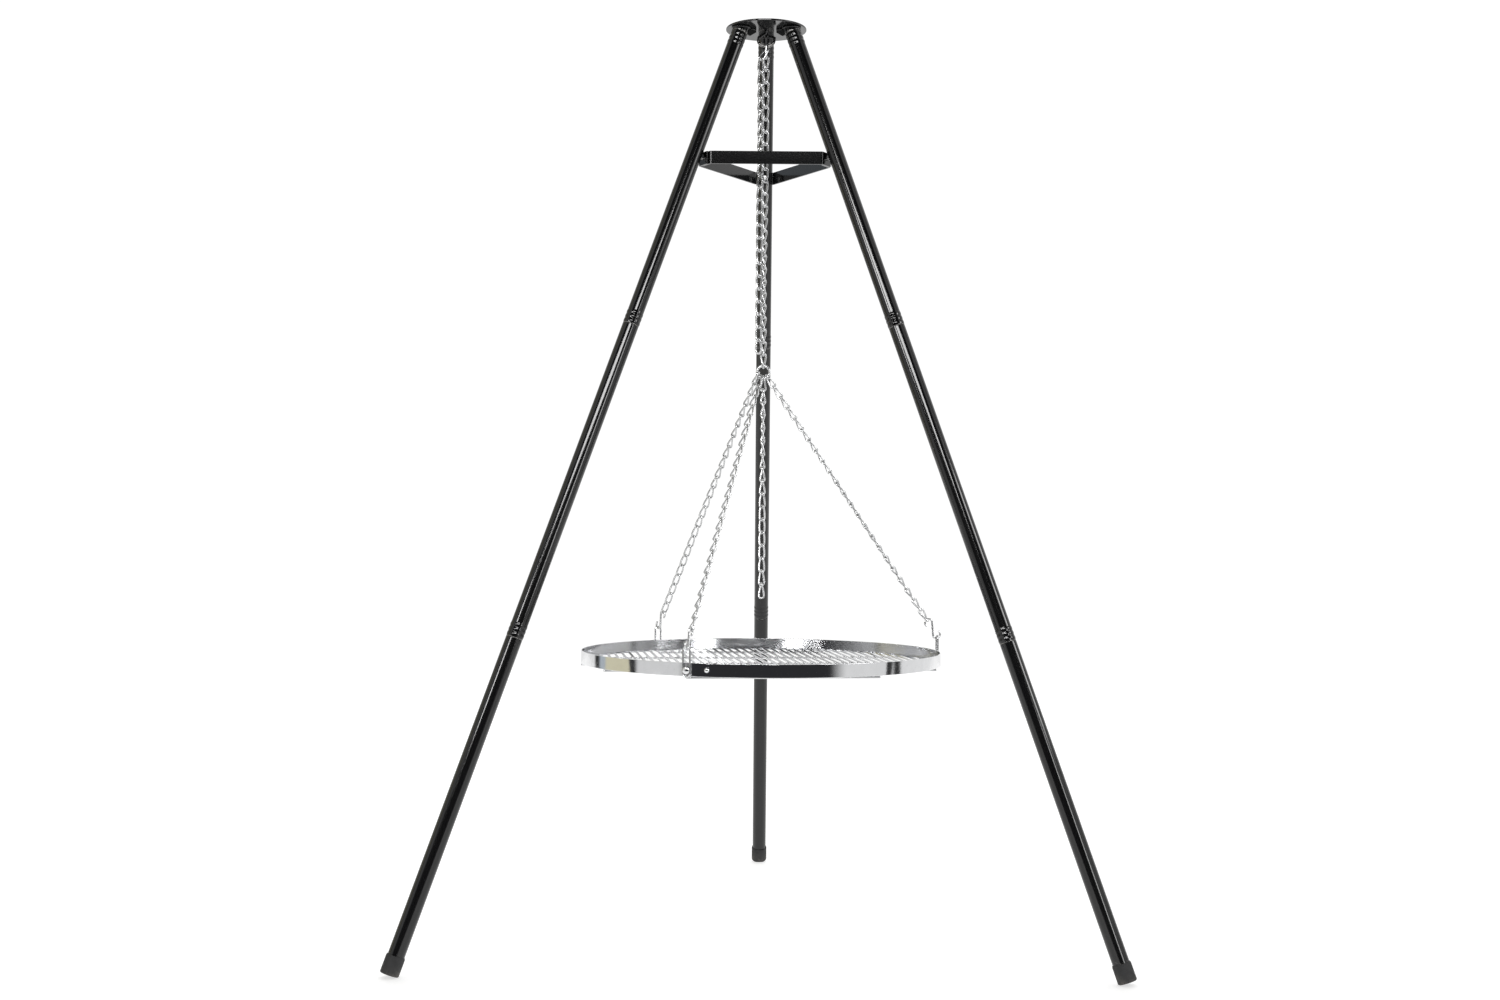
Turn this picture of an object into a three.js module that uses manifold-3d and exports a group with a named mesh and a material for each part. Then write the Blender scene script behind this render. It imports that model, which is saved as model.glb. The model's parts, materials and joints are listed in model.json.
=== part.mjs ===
// Campfire grill tripod: three sectioned tube legs under a round head plate, braced by a triangle of
// flat bar, with a round grill hung on steel chains. Millimetres, +Z up, ground at z = 0.
import * as THREE from 'three';
import { mergeVertices } from 'three/addons/utils/BufferGeometryUtils.js';
import Module from 'manifold-3d';

// ---- Driving dimensions -------------------------------------------------------------------------

const GAP = 0.3; // clearance between pieces that touch

const LEG_AZIMUTHS = [90, 210, 330]; // degrees, leg 1 at the back
const LEG_TILT = THREE.MathUtils.degToRad(21.4); // from vertical
const LEG_RADIUS_AT_PLATE = 45.3; // leg axis where it meets the plate's underside

const PLATE_RADIUS = 64;
const PLATE_THICKNESS = 3;
const PLATE_UNDERSIDE_Z = 1431;
const PLATE_EDGE = 1; // how far the plate's edge is rounded off
const PLATE_SIDES = 48;
const HOOK_HOLE_RADIUS = 2.9;

const TUBE_RADIUS = 12.5;
const TUBE_WALL = 1;
const BEAD_HEIGHT = 0.5;
const BEAD_PITCH = 7.2;
const BEAD_COUNT = 3;
const SPIGOT_LENGTH = 68; // reduced end that slides inside the tube above it
const SPIGOT_TAPER = 3; // length over which the bore narrows, below the shoulder
const LEG_TOP_OFFSET = 10.7; // along the leg, from the plate's underside to the leg's open end
const SECTION_PITCH = 507; // along the leg, from one section's open end to the next

const CAP_RADIUS = 14;
const CAP_LENGTH = 28;
const CAP_FLOOR = 4;
const CAP_CHAMFER = 1.5;
const GROUND_FLAT_DEPTH = 1.2; // how far the cap's lowest edge is pressed flat on the ground

const WEB_THICKNESS = 3;
const WEB_INNER_RADIUS = 19;
const WEB_BOTTOM_Z = 1418.6;
const WEB_NOSE_RISE = 7; // from the web's lowest edge up to the foot of its inner edge
const WEB_FOOT_LENGTH = 6; // the web's lowest edge, beside the stub
const WEB_FOOT_RISE = 2;

const BAR_HEIGHT = 20;
const BAR_THICKNESS = 3;
const BAR_MID_Z = 1216;
const BAR_DISTANCE = 67.4; // from the tripod's axis to each bar's middle plane
const TAB_OUTER_RADIUS = 110.5; // middle plane of the tab that lies on the leg
const TAB_LENGTH = 26;
const BAR_BEND_SETBACK = 2.5; // from the sharp corner to where each bend starts
const BAR_BEND_STEPS = 3;
const SCREW_RADIUS = 2.5;
const SCREW_HEAD_RADIUS = 5;
const SCREW_HEAD_HEIGHT = 2.6;
const SCREW_SHOULDER = { radius: 0.7, height: 0.8 }; // shares of the head's radius and height
const SCREW_HOLE_RADIUS = SCREW_RADIUS + GAP;
const SCREW_REACH = 12; // past the inner tab, through the leg's near wall

const HOOK_WIRE = 4.5;
const HOOK_HALF_WIDTH = 12.7;
const HOOK_BOWL_DEPTH = 9.4;
const HOOK_BOWL_ANGLES = [131, 180, 225, 270, 315, 360]; // degrees round the bowl, towards the tip
const HOOK_BOTTOM_Z = 1405.8; // middle of the wire at the bottom of the bowl
const HOOK_NECK = { x: -1.6, rise: 21.2 }; // where the shank bends into the bowl
const HOOK_TIP = { flare: 0.8, rise: 15 };
const HOOK_STEPS = 26;
const NUT_ACROSS_CORNERS = 12.7;
const NUT_HEIGHT = 5;
const SHANK_ABOVE_NUT = 1.6;

const CHAIN_WIRE = 3;
const CHAIN_PITCH = 20;
const CHAIN_WIDTH = 11.3;
const LINK_STEPS = 16;
const STRAND_WEB = 1; // thickness of each arm of the cross that stands for a run of links
const SPARE_OFFSET = new THREE.Vector2(-8, -8); // spare tail beside the load chain
const SPARE_BOTTOM_Z = 915;
const TAIL_BOTTOM_Z = 528;

const RING_Z = 888;
const RING_WIRE = 3.8;
const RING_MID_RADIUS = 10.2;
const RING_STEPS = 18;

const GRILL_RADIUS = 284;
const BAND_HEIGHT = 19.6;
const BAND_THICKNESS = 1.8;
const BAND_BOTTOM_Z = 427.4;
const SEAM_START = 251.5; // degrees, the band's free outer end
const LAP_ANGLE = 6; // degrees that the two ends overlap
const JOGGLE_ANGLE = 2.5; // degrees over which the outer end steps in to the circle
const INNER_END_SETBACK = 0.5; // degrees, how far the inner end stops short of a full lap
const BAND_STEPS = 84;
const SEAM_RIVET_ANGLE = 254.3;

const ROD_RADIUS = 2;
const ROD_PITCH = 12.6;
const ROD_COUNT = 44;
const ROD_SIDES = 6;
const ROD_BITE = 0.5; // depth of the weld where a rod crosses a cross rod
const CROSS_ROD_AZIMUTH = 8; // degrees
const CROSS_ROD_OFFSETS = [-0.857, -0.43, 0, 0.43, 0.857]; // shares of the grill's radius

const EYE_AZIMUTHS = [8, 128, 248];
const EYE_WIRE = 3;
const EYE_WIDTH = 14;
const EYE_TOP_Z = 471.5;
const EYE_BOTTOM_Z = 425;
const EYE_STEPS = 14;
const RIVET_RADIUS = 2;
const CLOSING_HEAD_RADIUS = 3.2; // small flat head inside the band
const CLOSING_HEAD_HEIGHT = 1.2;
const EYE_RIVET_HEAD_RADIUS = 5.6;
const EYE_RIVET_Z = 436;
const SEAM_RIVET_HEAD_RADIUS = 3.6;
const RIVET_HEAD_HEIGHT = 2.2;
const RIVET_SHOULDER = { radius: 0.75, height: 0.7 }; // shares of a domed head's radius and height

const S_HOOK_WIRE = 3.5;
const S_HOOK_BEND = 6.2; // middle radius of each bend
const S_HOOK_LENGTH = 38; // outside
const S_HOOK_RETURN = 25; // degrees that each bend turns back past a half circle
const S_HOOK_STEPS = 26;
const BEND_POINTS = 5;
const HANGER_START_RADIUS = 8;
const HANGER_START_Z = 880;
const HANGER_CLEARANCE = 14; // along the hanger, from the ring to where its plain strand begins

const TUBE_SIDES = 16;
const WIRE_SIDES = 6;
const SMALL_SIDES = 12;
const HEX_SIDES = 6;

// ---- Materials ----------------------------------------------------------------------------------

function material(color, roughness, metalness) {
  return new THREE.MeshStandardMaterial({ color, roughness, metalness });
}

const blackPaint = () => material(0x121314, 0.22, 0.1);
const capRubber = () => material(0x3a3b3c, 0.85, 0);
const zincSteel = () => material(0xb9bcbd, 0.35, 1);
const chrome = () => material(0xd5d9db, 0.08, 1);
const plainSteel = () => material(0x9fa2a4, 0.35, 1);

// ---- Solid helpers ------------------------------------------------------------------------------

const wasm = await Module();
wasm.setup();

function toSolid(geometry) {
  const bare = geometry.clone();
  bare.deleteAttribute('normal');
  bare.deleteAttribute('uv');
  const merged = mergeVertices(bare, 1e-4);
  const vertProperties = Float32Array.from(merged.attributes.position.array);
  const triVerts = Uint32Array.from(merged.index.array);
  return new wasm.Manifold(new wasm.Mesh({ numProp: 3, vertProperties, triVerts }));
}

function toGeometry(solid) {
  const mesh = solid.getMesh();
  const geometry = new THREE.BufferGeometry();
  geometry.setAttribute('position', new THREE.BufferAttribute(mesh.vertProperties, 3));
  geometry.setIndex(new THREE.BufferAttribute(mesh.triVerts, 1));
  geometry.computeVertexNormals();
  return geometry;
}

function cut(geometry, ...tools) {
  let solid = toSolid(geometry);
  for (const tool of tools) {
    solid = solid.subtract(toSolid(tool));
  }
  return toGeometry(solid);
}

const toRadians = THREE.MathUtils.degToRad;
const UP = new THREE.Vector3(0, 0, 1);
const LATHE_AXIS = new THREE.Vector3(0, 1, 0);

// A point at an azimuth (degrees), a distance from the tripod's axis and a height.
function polar(azimuth, radius, z) {
  const angle = toRadians(azimuth);
  return new THREE.Vector3(radius * Math.cos(angle), radius * Math.sin(angle), z);
}

function outward(azimuth) {
  return polar(azimuth, 1, 0);
}

function onAxis(z) {
  return new THREE.Vector3(0, 0, z);
}

// Turns a geometry whose axis is `from` onto `to`, then moves it to `place`.
function aim(geometry, from, to, place) {
  geometry.applyQuaternion(new THREE.Quaternion().setFromUnitVectors(from, to));
  return geometry.translate(place.x, place.y, place.z);
}

// A closed profile of [radius, height] points, turned about an axis that starts at `place`.
function turned(profile, sides, axis, place) {
  const points = profile.map(([radius, height]) => new THREE.Vector2(radius, height));
  return aim(new THREE.LatheGeometry(points, sides), LATHE_AXIS, axis, place);
}

function rod(radius, from, to, sides) {
  const along = to.clone().sub(from);
  const geometry = new THREE.CylinderGeometry(radius, radius, along.length(), sides);
  const middle = from.clone().add(to).multiplyScalar(0.5);
  return aim(geometry, LATHE_AXIS, along.normalize(), middle);
}

// Wire bent along a smooth line through the given points.
function bentWire(points, diameter, steps) {
  const section = new THREE.Shape();
  for (let side = 0; side < WIRE_SIDES; side += 1) {
    const angle = (2 * Math.PI * side) / WIRE_SIDES;
    const x = (diameter / 2) * Math.cos(angle);
    const y = (diameter / 2) * Math.sin(angle);
    if (side === 0) section.moveTo(x, y);
    else section.lineTo(x, y);
  }
  const path = new THREE.CatmullRomCurve3(points, false, 'centripetal');
  return new THREE.ExtrudeGeometry(section, { steps, bevelEnabled: false, extrudePath: path });
}

// A closed wire loop with straight sides: `width` and `length` are outside sizes, long side on Y.
function wireLoop(width, length, wire, steps) {
  const geometry = new THREE.TorusGeometry((width - wire) / 2, wire / 2, WIRE_SIDES, steps);
  geometry.rotateZ(Math.PI / steps);
  const stretch = (length - width) / 2;
  const position = geometry.attributes.position;
  for (let i = 0; i < position.count; i += 1) {
    position.setY(i, position.getY(i) + Math.sign(position.getY(i)) * stretch);
  }
  return geometry;
}

const part = new THREE.Group();
const tripod = new THREE.Group(); // its axis is x = 0, y = 0
part.add(tripod);

function addPiece(name, geometry, finish) {
  const mesh = new THREE.Mesh(geometry, finish);
  mesh.name = name;
  tripod.add(mesh);
}

// ---- Legs ---------------------------------------------------------------------------------------

// The leg's direction, down and outward.
function legDirection(azimuth) {
  return polar(azimuth, Math.sin(LEG_TILT), -Math.cos(LEG_TILT));
}

// A point on the leg's axis, `along` millimetres below the plate's underside.
function legPoint(azimuth, along) {
  const start = polar(azimuth, LEG_RADIUS_AT_PLATE, PLATE_UNDERSIDE_Z);
  return start.addScaledVector(legDirection(azimuth), along);
}

const TUBE_BORE = TUBE_RADIUS - TUBE_WALL;
const SPIGOT_RADIUS = TUBE_BORE - GAP;
const SPIGOT_BORE = SPIGOT_RADIUS - TUBE_WALL;
const BEAD_START = 1; // from the tube's open end to the first bead

// Rolled beads beside the tube's open end, which is at `mouth`; `sign` points into the tube.
function beadProfile(mouth, sign) {
  const profile = [[TUBE_RADIUS, mouth]];
  for (let bead = 0; bead < BEAD_COUNT; bead += 1) {
    const start = mouth + sign * (BEAD_START + bead * BEAD_PITCH);
    profile.push([TUBE_RADIUS, start]);
    profile.push([TUBE_RADIUS + BEAD_HEIGHT, start + (sign * BEAD_PITCH) / 2]);
  }
  profile.push([TUBE_RADIUS, mouth + sign * (BEAD_START + BEAD_COUNT * BEAD_PITCH)]);
  return profile;
}

// Reduced end above the shoulder at height 0, outside and inside.
function spigotOutside() {
  return [
    [SPIGOT_RADIUS, -SPIGOT_LENGTH],
    [SPIGOT_RADIUS, 0],
    [TUBE_RADIUS, 0],
  ];
}

function spigotInside() {
  return [
    [TUBE_BORE, SPIGOT_TAPER],
    [SPIGOT_BORE, 0],
    [SPIGOT_BORE, -SPIGOT_LENGTH],
  ];
}

function closedProfile(outside, inside) {
  return [...outside, ...inside, outside[0]];
}

function upperProfile() {
  const outside = [...beadProfile(0, 1), ...beadProfile(SECTION_PITCH, -1).reverse()];
  return closedProfile(outside, [[TUBE_BORE, SECTION_PITCH], [TUBE_BORE, 0]]);
}

function middleProfile() {
  const end = SECTION_PITCH - GAP;
  const outside = [...spigotOutside(), ...beadProfile(end, -1).reverse()];
  return closedProfile(outside, [[TUBE_BORE, end], ...spigotInside()]);
}

// Where the cap's end face crosses the leg's axis, so that its lowest edge is pressed flat.
const CAP_END_Z = (CAP_RADIUS - CAP_CHAMFER) * Math.sin(LEG_TILT) - GROUND_FLAT_DEPTH;
const LEG_LENGTH = (PLATE_UNDERSIDE_Z - CAP_END_Z) / Math.cos(LEG_TILT);
const MIDDLE_SHOULDER = LEG_TOP_OFFSET + SECTION_PITCH + GAP;
const LOWER_SHOULDER = LEG_TOP_OFFSET + 2 * SECTION_PITCH + GAP;

function lowerProfile() {
  const end = LEG_LENGTH - LOWER_SHOULDER - CAP_FLOOR - GAP;
  const outside = [...spigotOutside(), [TUBE_RADIUS, end]];
  return closedProfile(outside, [[TUBE_BORE, end], ...spigotInside()]);
}

// Hole for the spreader's screw, through the wall that faces the tripod's axis.
function screwHole(azimuth) {
  const from = polar(azimuth, TAB_OUTER_RADIUS - 3 * BAR_THICKNESS, BAR_MID_Z);
  const to = polar(azimuth, TAB_OUTER_RADIUS + SCREW_REACH, BAR_MID_Z);
  return rod(SCREW_HOLE_RADIUS, from, to, SMALL_SIDES);
}

function capGeometry(azimuth) {
  const bore = TUBE_RADIUS + GAP;
  const profile = [
    [0, CAP_LENGTH - CAP_FLOOR],
    [bore, CAP_LENGTH - CAP_FLOOR],
    [bore, 0],
    [CAP_RADIUS, 0],
    [CAP_RADIUS, CAP_LENGTH - CAP_CHAMFER],
    [CAP_RADIUS - CAP_CHAMFER, CAP_LENGTH],
    [0, CAP_LENGTH],
  ];
  const start = legPoint(azimuth, LEG_LENGTH - CAP_LENGTH);
  const cap = turned(profile, TUBE_SIDES, legDirection(azimuth), start);
  const ground = new THREE.BoxGeometry(4 * CAP_RADIUS, 4 * CAP_RADIUS, CAP_RADIUS);
  const foot = legPoint(azimuth, LEG_LENGTH);
  ground.translate(foot.x, foot.y, -CAP_RADIUS / 2);
  return cut(cap, ground);
}

function addLeg(number, azimuth) {
  const down = legDirection(azimuth);
  const upper = turned(upperProfile(), TUBE_SIDES, down, legPoint(azimuth, LEG_TOP_OFFSET));
  const middle = turned(middleProfile(), TUBE_SIDES, down, legPoint(azimuth, MIDDLE_SHOULDER));
  const lower = turned(lowerProfile(), TUBE_SIDES, down, legPoint(azimuth, LOWER_SHOULDER));
  addPiece(`leg_${number}_upper`, cut(upper, screwHole(azimuth)), blackPaint());
  addPiece(`leg_${number}_middle`, middle, blackPaint());
  addPiece(`leg_${number}_lower`, lower, blackPaint());
  addPiece(`foot_cap_${number}`, capGeometry(azimuth), capRubber());
}

// ---- Head ---------------------------------------------------------------------------------------

function headPlateGeometry() {
  const profile = [
    [HOOK_HOLE_RADIUS, 0],
    [PLATE_RADIUS - PLATE_EDGE, 0],
    [PLATE_RADIUS, PLATE_THICKNESS / 2],
    [PLATE_RADIUS - PLATE_EDGE, PLATE_THICKNESS],
    [HOOK_HOLE_RADIUS, PLATE_THICKNESS],
    [HOOK_HOLE_RADIUS, 0],
  ];
  return turned(profile, PLATE_SIDES, UP, onAxis(PLATE_UNDERSIDE_Z));
}

// Tube stub under the plate: its shoulder meets the leg's open end, its top is cut level.
function socketGeometry(azimuth) {
  const shoulder = LEG_TOP_OFFSET - GAP;
  const profile = [
    [TUBE_RADIUS, -shoulder - TUBE_RADIUS],
    [TUBE_RADIUS, 0],
    [SPIGOT_RADIUS, 0],
    [SPIGOT_RADIUS, SPIGOT_LENGTH],
    [SPIGOT_BORE, SPIGOT_LENGTH],
    [SPIGOT_BORE, 0],
    [TUBE_BORE, -SPIGOT_TAPER],
    [TUBE_BORE, -shoulder - TUBE_RADIUS],
    [TUBE_RADIUS, -shoulder - TUBE_RADIUS],
  ];
  const stub = turned(profile, TUBE_SIDES, legDirection(azimuth), legPoint(azimuth, shoulder));
  const above = new THREE.BoxGeometry(4 * TUBE_RADIUS, 4 * TUBE_RADIUS, 4 * TUBE_RADIUS);
  const top = legPoint(azimuth, 0);
  above.translate(top.x, top.y, PLATE_UNDERSIDE_Z - GAP + 2 * TUBE_RADIUS);
  return cut(stub, above);
}

// Small web plate in the corner between the plate and the stub, on the side of the axis.
function webGeometry(azimuth) {
  const top = PLATE_UNDERSIDE_Z - GAP;
  const stubInside = (z) => {
    const axis = LEG_RADIUS_AT_PLATE + (PLATE_UNDERSIDE_Z - z) * Math.tan(LEG_TILT);
    return axis - TUBE_RADIUS / Math.cos(LEG_TILT) - 2 * GAP;
  };
  const outline = new THREE.Shape([
    new THREE.Vector2(WEB_INNER_RADIUS, WEB_BOTTOM_Z + WEB_NOSE_RISE),
    new THREE.Vector2(stubInside(WEB_BOTTOM_Z) - WEB_FOOT_LENGTH, WEB_BOTTOM_Z),
    new THREE.Vector2(stubInside(WEB_BOTTOM_Z + WEB_FOOT_RISE), WEB_BOTTOM_Z + WEB_FOOT_RISE),
    new THREE.Vector2(stubInside(top), top),
    new THREE.Vector2(WEB_INNER_RADIUS, top),
  ]);
  const web = new THREE.ExtrudeGeometry(outline, { depth: WEB_THICKNESS, bevelEnabled: false });
  web.translate(0, 0, -WEB_THICKNESS / 2);
  web.rotateX(Math.PI / 2);
  return web.rotateZ(toRadians(azimuth));
}

// A straight shank through the plate, bent to one side and round into an open bowl.
function hookGeometry() {
  const shankTop = PLATE_UNDERSIDE_Z + PLATE_THICKNESS + NUT_HEIGHT + GAP + SHANK_ABOVE_NUT;
  const bowl = HOOK_BOWL_ANGLES.map((degrees) => {
    const angle = toRadians(degrees);
    const z = HOOK_BOTTOM_Z + HOOK_BOWL_DEPTH * (1 + Math.sin(angle));
    return new THREE.Vector3(HOOK_HALF_WIDTH * Math.cos(angle), 0, z);
  });
  const points = [
    onAxis(shankTop),
    onAxis(PLATE_UNDERSIDE_Z),
    new THREE.Vector3(HOOK_NECK.x, 0, HOOK_BOTTOM_Z + HOOK_NECK.rise),
    ...bowl,
    new THREE.Vector3(HOOK_HALF_WIDTH + HOOK_TIP.flare, 0, HOOK_BOTTOM_Z + HOOK_TIP.rise),
  ];
  return bentWire(points, HOOK_WIRE, HOOK_STEPS);
}

function hookNutGeometry() {
  const radius = NUT_ACROSS_CORNERS / 2;
  const low = PLATE_UNDERSIDE_Z + PLATE_THICKNESS + GAP;
  const high = low + NUT_HEIGHT;
  const body = rod(radius, onAxis(low), onAxis(high), HEX_SIDES);
  const boreRadius = HOOK_WIRE / 2 + GAP;
  const bore = rod(boreRadius, onAxis(low - NUT_HEIGHT), onAxis(high + NUT_HEIGHT), SMALL_SIDES);
  return cut(body, bore);
}

// ---- Spreader -----------------------------------------------------------------------------------

// Points of a fillet between two straight runs that meet at `corner`.
function bend(before, corner, after) {
  const backward = before.clone().sub(corner).normalize();
  const forward = after.clone().sub(corner).normalize();
  const first = corner.clone().addScaledVector(backward, BAR_BEND_SETBACK);
  const last = corner.clone().addScaledVector(forward, BAR_BEND_SETBACK);
  return new THREE.QuadraticBezierCurve(first, corner, last).getPoints(BAR_BEND_STEPS);
}

// A strip of even thickness that follows a line of points.
function stripShape(line, thickness) {
  const sides = [1, -1].map((side) => line.map((point, i) => {
    const before = line[Math.max(i - 1, 0)];
    const after = line[Math.min(i + 1, line.length - 1)];
    const along = after.clone().sub(before).normalize();
    const normal = new THREE.Vector2(-along.y, along.x);
    return point.clone().addScaledVector(normal, (side * thickness) / 2);
  }));
  return new THREE.Shape([...sides[0].reverse(), ...sides[1]]);
}

// The tab's end and its corner with the straight run, at one end of the front bar.
function tabPoints(azimuth, distance) {
  const normal = new THREE.Vector2(outward(azimuth).x, outward(azimuth).y);
  const cornerX = (distance + BAR_DISTANCE * normal.y) / normal.x;
  const corner = new THREE.Vector2(cornerX, -BAR_DISTANCE);
  const along = normal.clone().multiplyScalar(distance).sub(corner).normalize();
  return { corner, end: corner.clone().addScaledVector(along, TAB_LENGTH) };
}

const TAB_INNER_RADIUS = TAB_OUTER_RADIUS - BAR_THICKNESS - GAP;

function frontBarGeometry() {
  const left = tabPoints(LEG_AZIMUTHS[1], TAB_INNER_RADIUS);
  const right = tabPoints(LEG_AZIMUTHS[2], TAB_OUTER_RADIUS);
  const line = [
    left.end,
    ...bend(left.end, left.corner, right.corner),
    ...bend(left.corner, right.corner, right.end),
    right.end,
  ];
  const shape = stripShape(line, BAR_THICKNESS);
  const bar = new THREE.ExtrudeGeometry(shape, { depth: BAR_HEIGHT, bevelEnabled: false });
  bar.translate(0, 0, BAR_MID_Z - BAR_HEIGHT / 2);
  return cut(bar, screwHole(LEG_AZIMUTHS[1]), screwHole(LEG_AZIMUTHS[2]));
}

function screwGeometry(azimuth) {
  const headFace = TAB_INNER_RADIUS - BAR_THICKNESS / 2 - GAP;
  const end = TAB_OUTER_RADIUS - headFace + SCREW_REACH;
  const profile = [
    [0, -SCREW_HEAD_HEIGHT],
    [SCREW_SHOULDER.radius * SCREW_HEAD_RADIUS, -SCREW_SHOULDER.height * SCREW_HEAD_HEIGHT],
    [SCREW_HEAD_RADIUS, 0],
    [SCREW_RADIUS, 0],
    [SCREW_RADIUS, end - SCREW_RADIUS],
    [0, end],
  ];
  return turned(profile, SMALL_SIDES, outward(azimuth), polar(azimuth, headFace, BAR_MID_Z));
}

function addSpreader() {
  LEG_AZIMUTHS.forEach((azimuth, i) => {
    const bar = frontBarGeometry().rotateZ(toRadians(azimuth - LEG_AZIMUTHS[0]));
    addPiece(`spreader_bar_${i + 1}`, bar, blackPaint());
    addPiece(`spreader_screw_${i + 1}`, screwGeometry(azimuth), plainSteel());
  });
}

// ---- Chains -------------------------------------------------------------------------------------

// A run of links as one plain solid: a cross as wide as the chain, with the chain's own weight.
function strandGeometry(from, to) {
  const arm = CHAIN_WIDTH / 2;
  const web = STRAND_WEB / 2;
  const corners = [
    [arm, -web], [arm, web], [web, web], [web, arm], [-web, arm], [-web, web],
    [-arm, web], [-arm, -web], [-web, -web], [-web, -arm], [web, -arm], [web, -web],
  ].map(([x, y]) => new THREE.Vector2(x, y));
  const along = to.clone().sub(from);
  const options = { depth: along.length(), bevelEnabled: false };
  const strand = new THREE.ExtrudeGeometry(new THREE.Shape(corners), options);
  return aim(strand, UP, along.normalize(), from);
}

const LINK_LENGTH = CHAIN_PITCH + 2 * CHAIN_WIRE;
const TOP_LINK_TOP_Z = HOOK_BOTTOM_Z + HOOK_WIRE / 2 + GAP + CHAIN_WIRE;
const TOP_LINK_BOTTOM_Z = TOP_LINK_TOP_Z - LINK_LENGTH;

// The link that sits on the hook, across the hook's wire.
function topLinkGeometry() {
  const link = wireLoop(CHAIN_WIDTH, LINK_LENGTH, CHAIN_WIRE, LINK_STEPS);
  link.rotateX(Math.PI / 2);
  link.rotateZ(Math.PI / 2);
  return link.translate(0, 0, TOP_LINK_TOP_Z - LINK_LENGTH / 2);
}

function besideAxis(z) {
  return new THREE.Vector3(SPARE_OFFSET.x, SPARE_OFFSET.y, z);
}

function addChains() {
  const strandTop = TOP_LINK_BOTTOM_Z - GAP;
  const ringTop = RING_Z + RING_MID_RADIUS + RING_WIRE / 2;
  const ringBottom = RING_Z - RING_MID_RADIUS - RING_WIRE / 2;
  addPiece('top_link', topLinkGeometry(), zincSteel());
  addPiece('load_chain', strandGeometry(onAxis(ringTop + GAP), onAxis(strandTop)), zincSteel());
  const spare = strandGeometry(besideAxis(SPARE_BOTTOM_Z), besideAxis(strandTop));
  addPiece('spare_chain_upper', spare, zincSteel());
  const tail = strandGeometry(onAxis(TAIL_BOTTOM_Z), onAxis(ringBottom - GAP));
  addPiece('spare_chain_lower', tail, zincSteel());

  const ring = new THREE.TorusGeometry(RING_MID_RADIUS, RING_WIRE / 2, WIRE_SIDES, RING_STEPS);
  ring.rotateX(Math.PI / 2);
  addPiece('joining_ring', ring.translate(0, 0, RING_Z), zincSteel());
}

// ---- Hangers ------------------------------------------------------------------------------------

const EYE_RADIUS = GRILL_RADIUS + GAP + EYE_WIRE / 2; // middle of the eye's wire

// The straight line of pull from the ring to an eye; `to` is where the S-hook bears on the eye's wire.
function hangerLine(azimuth) {
  const from = polar(azimuth, HANGER_START_RADIUS, HANGER_START_Z);
  const eyeTop = polar(azimuth, EYE_RADIUS, EYE_TOP_Z - EYE_WIRE / 2);
  const direction = eyeTop.clone().sub(from).normalize();
  return { from, to: eyeTop.addScaledVector(direction, EYE_WIRE / 2 + GAP), direction };
}

// An S of two bends, drawn in X (outward) and Z, its inside lower end at the origin.
function sHookPoints() {
  const lowCentre = S_HOOK_BEND - S_HOOK_WIRE / 2;
  const highCentre = S_HOOK_LENGTH - 1.5 * S_HOOK_WIRE - S_HOOK_BEND;
  const arc = (centreZ, fromAngle, toAngle) => {
    const points = [];
    for (let step = 0; step <= BEND_POINTS; step += 1) {
      const angle = toRadians(fromAngle + ((toAngle - fromAngle) * step) / BEND_POINTS);
      const x = S_HOOK_BEND * Math.cos(angle);
      points.push(new THREE.Vector3(x, 0, centreZ + S_HOOK_BEND * Math.sin(angle)));
    }
    return points;
  };
  return [...arc(lowCentre, S_HOOK_RETURN, -180), ...arc(highCentre, 0, 180 + S_HOOK_RETURN)];
}

function sHookGeometry(azimuth) {
  const { to, direction } = hangerLine(azimuth);
  const hook = bentWire(sHookPoints(), S_HOOK_WIRE, S_HOOK_STEPS);
  hook.rotateZ(toRadians(azimuth));
  return aim(hook, UP, direction.clone().negate(), to);
}

function addHangers() {
  EYE_AZIMUTHS.forEach((azimuth, i) => {
    const { from, to, direction } = hangerLine(azimuth);
    const start = from.clone().addScaledVector(direction, HANGER_CLEARANCE);
    const end = to.clone().addScaledVector(direction, -(S_HOOK_LENGTH - S_HOOK_WIRE + 2 * GAP));
    addPiece(`hanger_chain_${i + 1}`, strandGeometry(start, end), zincSteel());
    addPiece(`s_hook_${i + 1}`, sHookGeometry(azimuth), zincSteel());
  });
}

// ---- Grill --------------------------------------------------------------------------------------

// Middle radius of the band at an angle past its free outer end: the first stretch lies over the last.
function bandRadius(angle) {
  const inner = GRILL_RADIUS - BAND_THICKNESS / 2;
  const step = BAND_THICKNESS + GAP;
  const past = (angle - LAP_ANGLE) / JOGGLE_ANGLE;
  return inner + step * (1 - THREE.MathUtils.clamp(past, 0, 1));
}

function bandShape() {
  const line = [];
  const sweep = 360 + LAP_ANGLE - INNER_END_SETBACK;
  const angles = [0, LAP_ANGLE, LAP_ANGLE + JOGGLE_ANGLE];
  for (let step = 1; step <= BAND_STEPS; step += 1) {
    const start = LAP_ANGLE + JOGGLE_ANGLE;
    angles.push(start + ((sweep - start) * step) / BAND_STEPS);
  }
  angles.forEach((angle) => {
    const place = polar(SEAM_START + angle, bandRadius(angle), 0);
    line.push(new THREE.Vector2(place.x, place.y));
  });
  return stripShape(line, BAND_THICKNESS);
}

// Hole through the band for a rivet.
function rivetHole(azimuth, z) {
  const reach = 4 * BAND_THICKNESS;
  const from = polar(azimuth, GRILL_RADIUS - reach, z);
  const to = polar(azimuth, GRILL_RADIUS + reach, z);
  return rod(RIVET_RADIUS + GAP, from, to, SMALL_SIDES);
}

const BAND_MID_Z = BAND_BOTTOM_Z + BAND_HEIGHT / 2;

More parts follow.
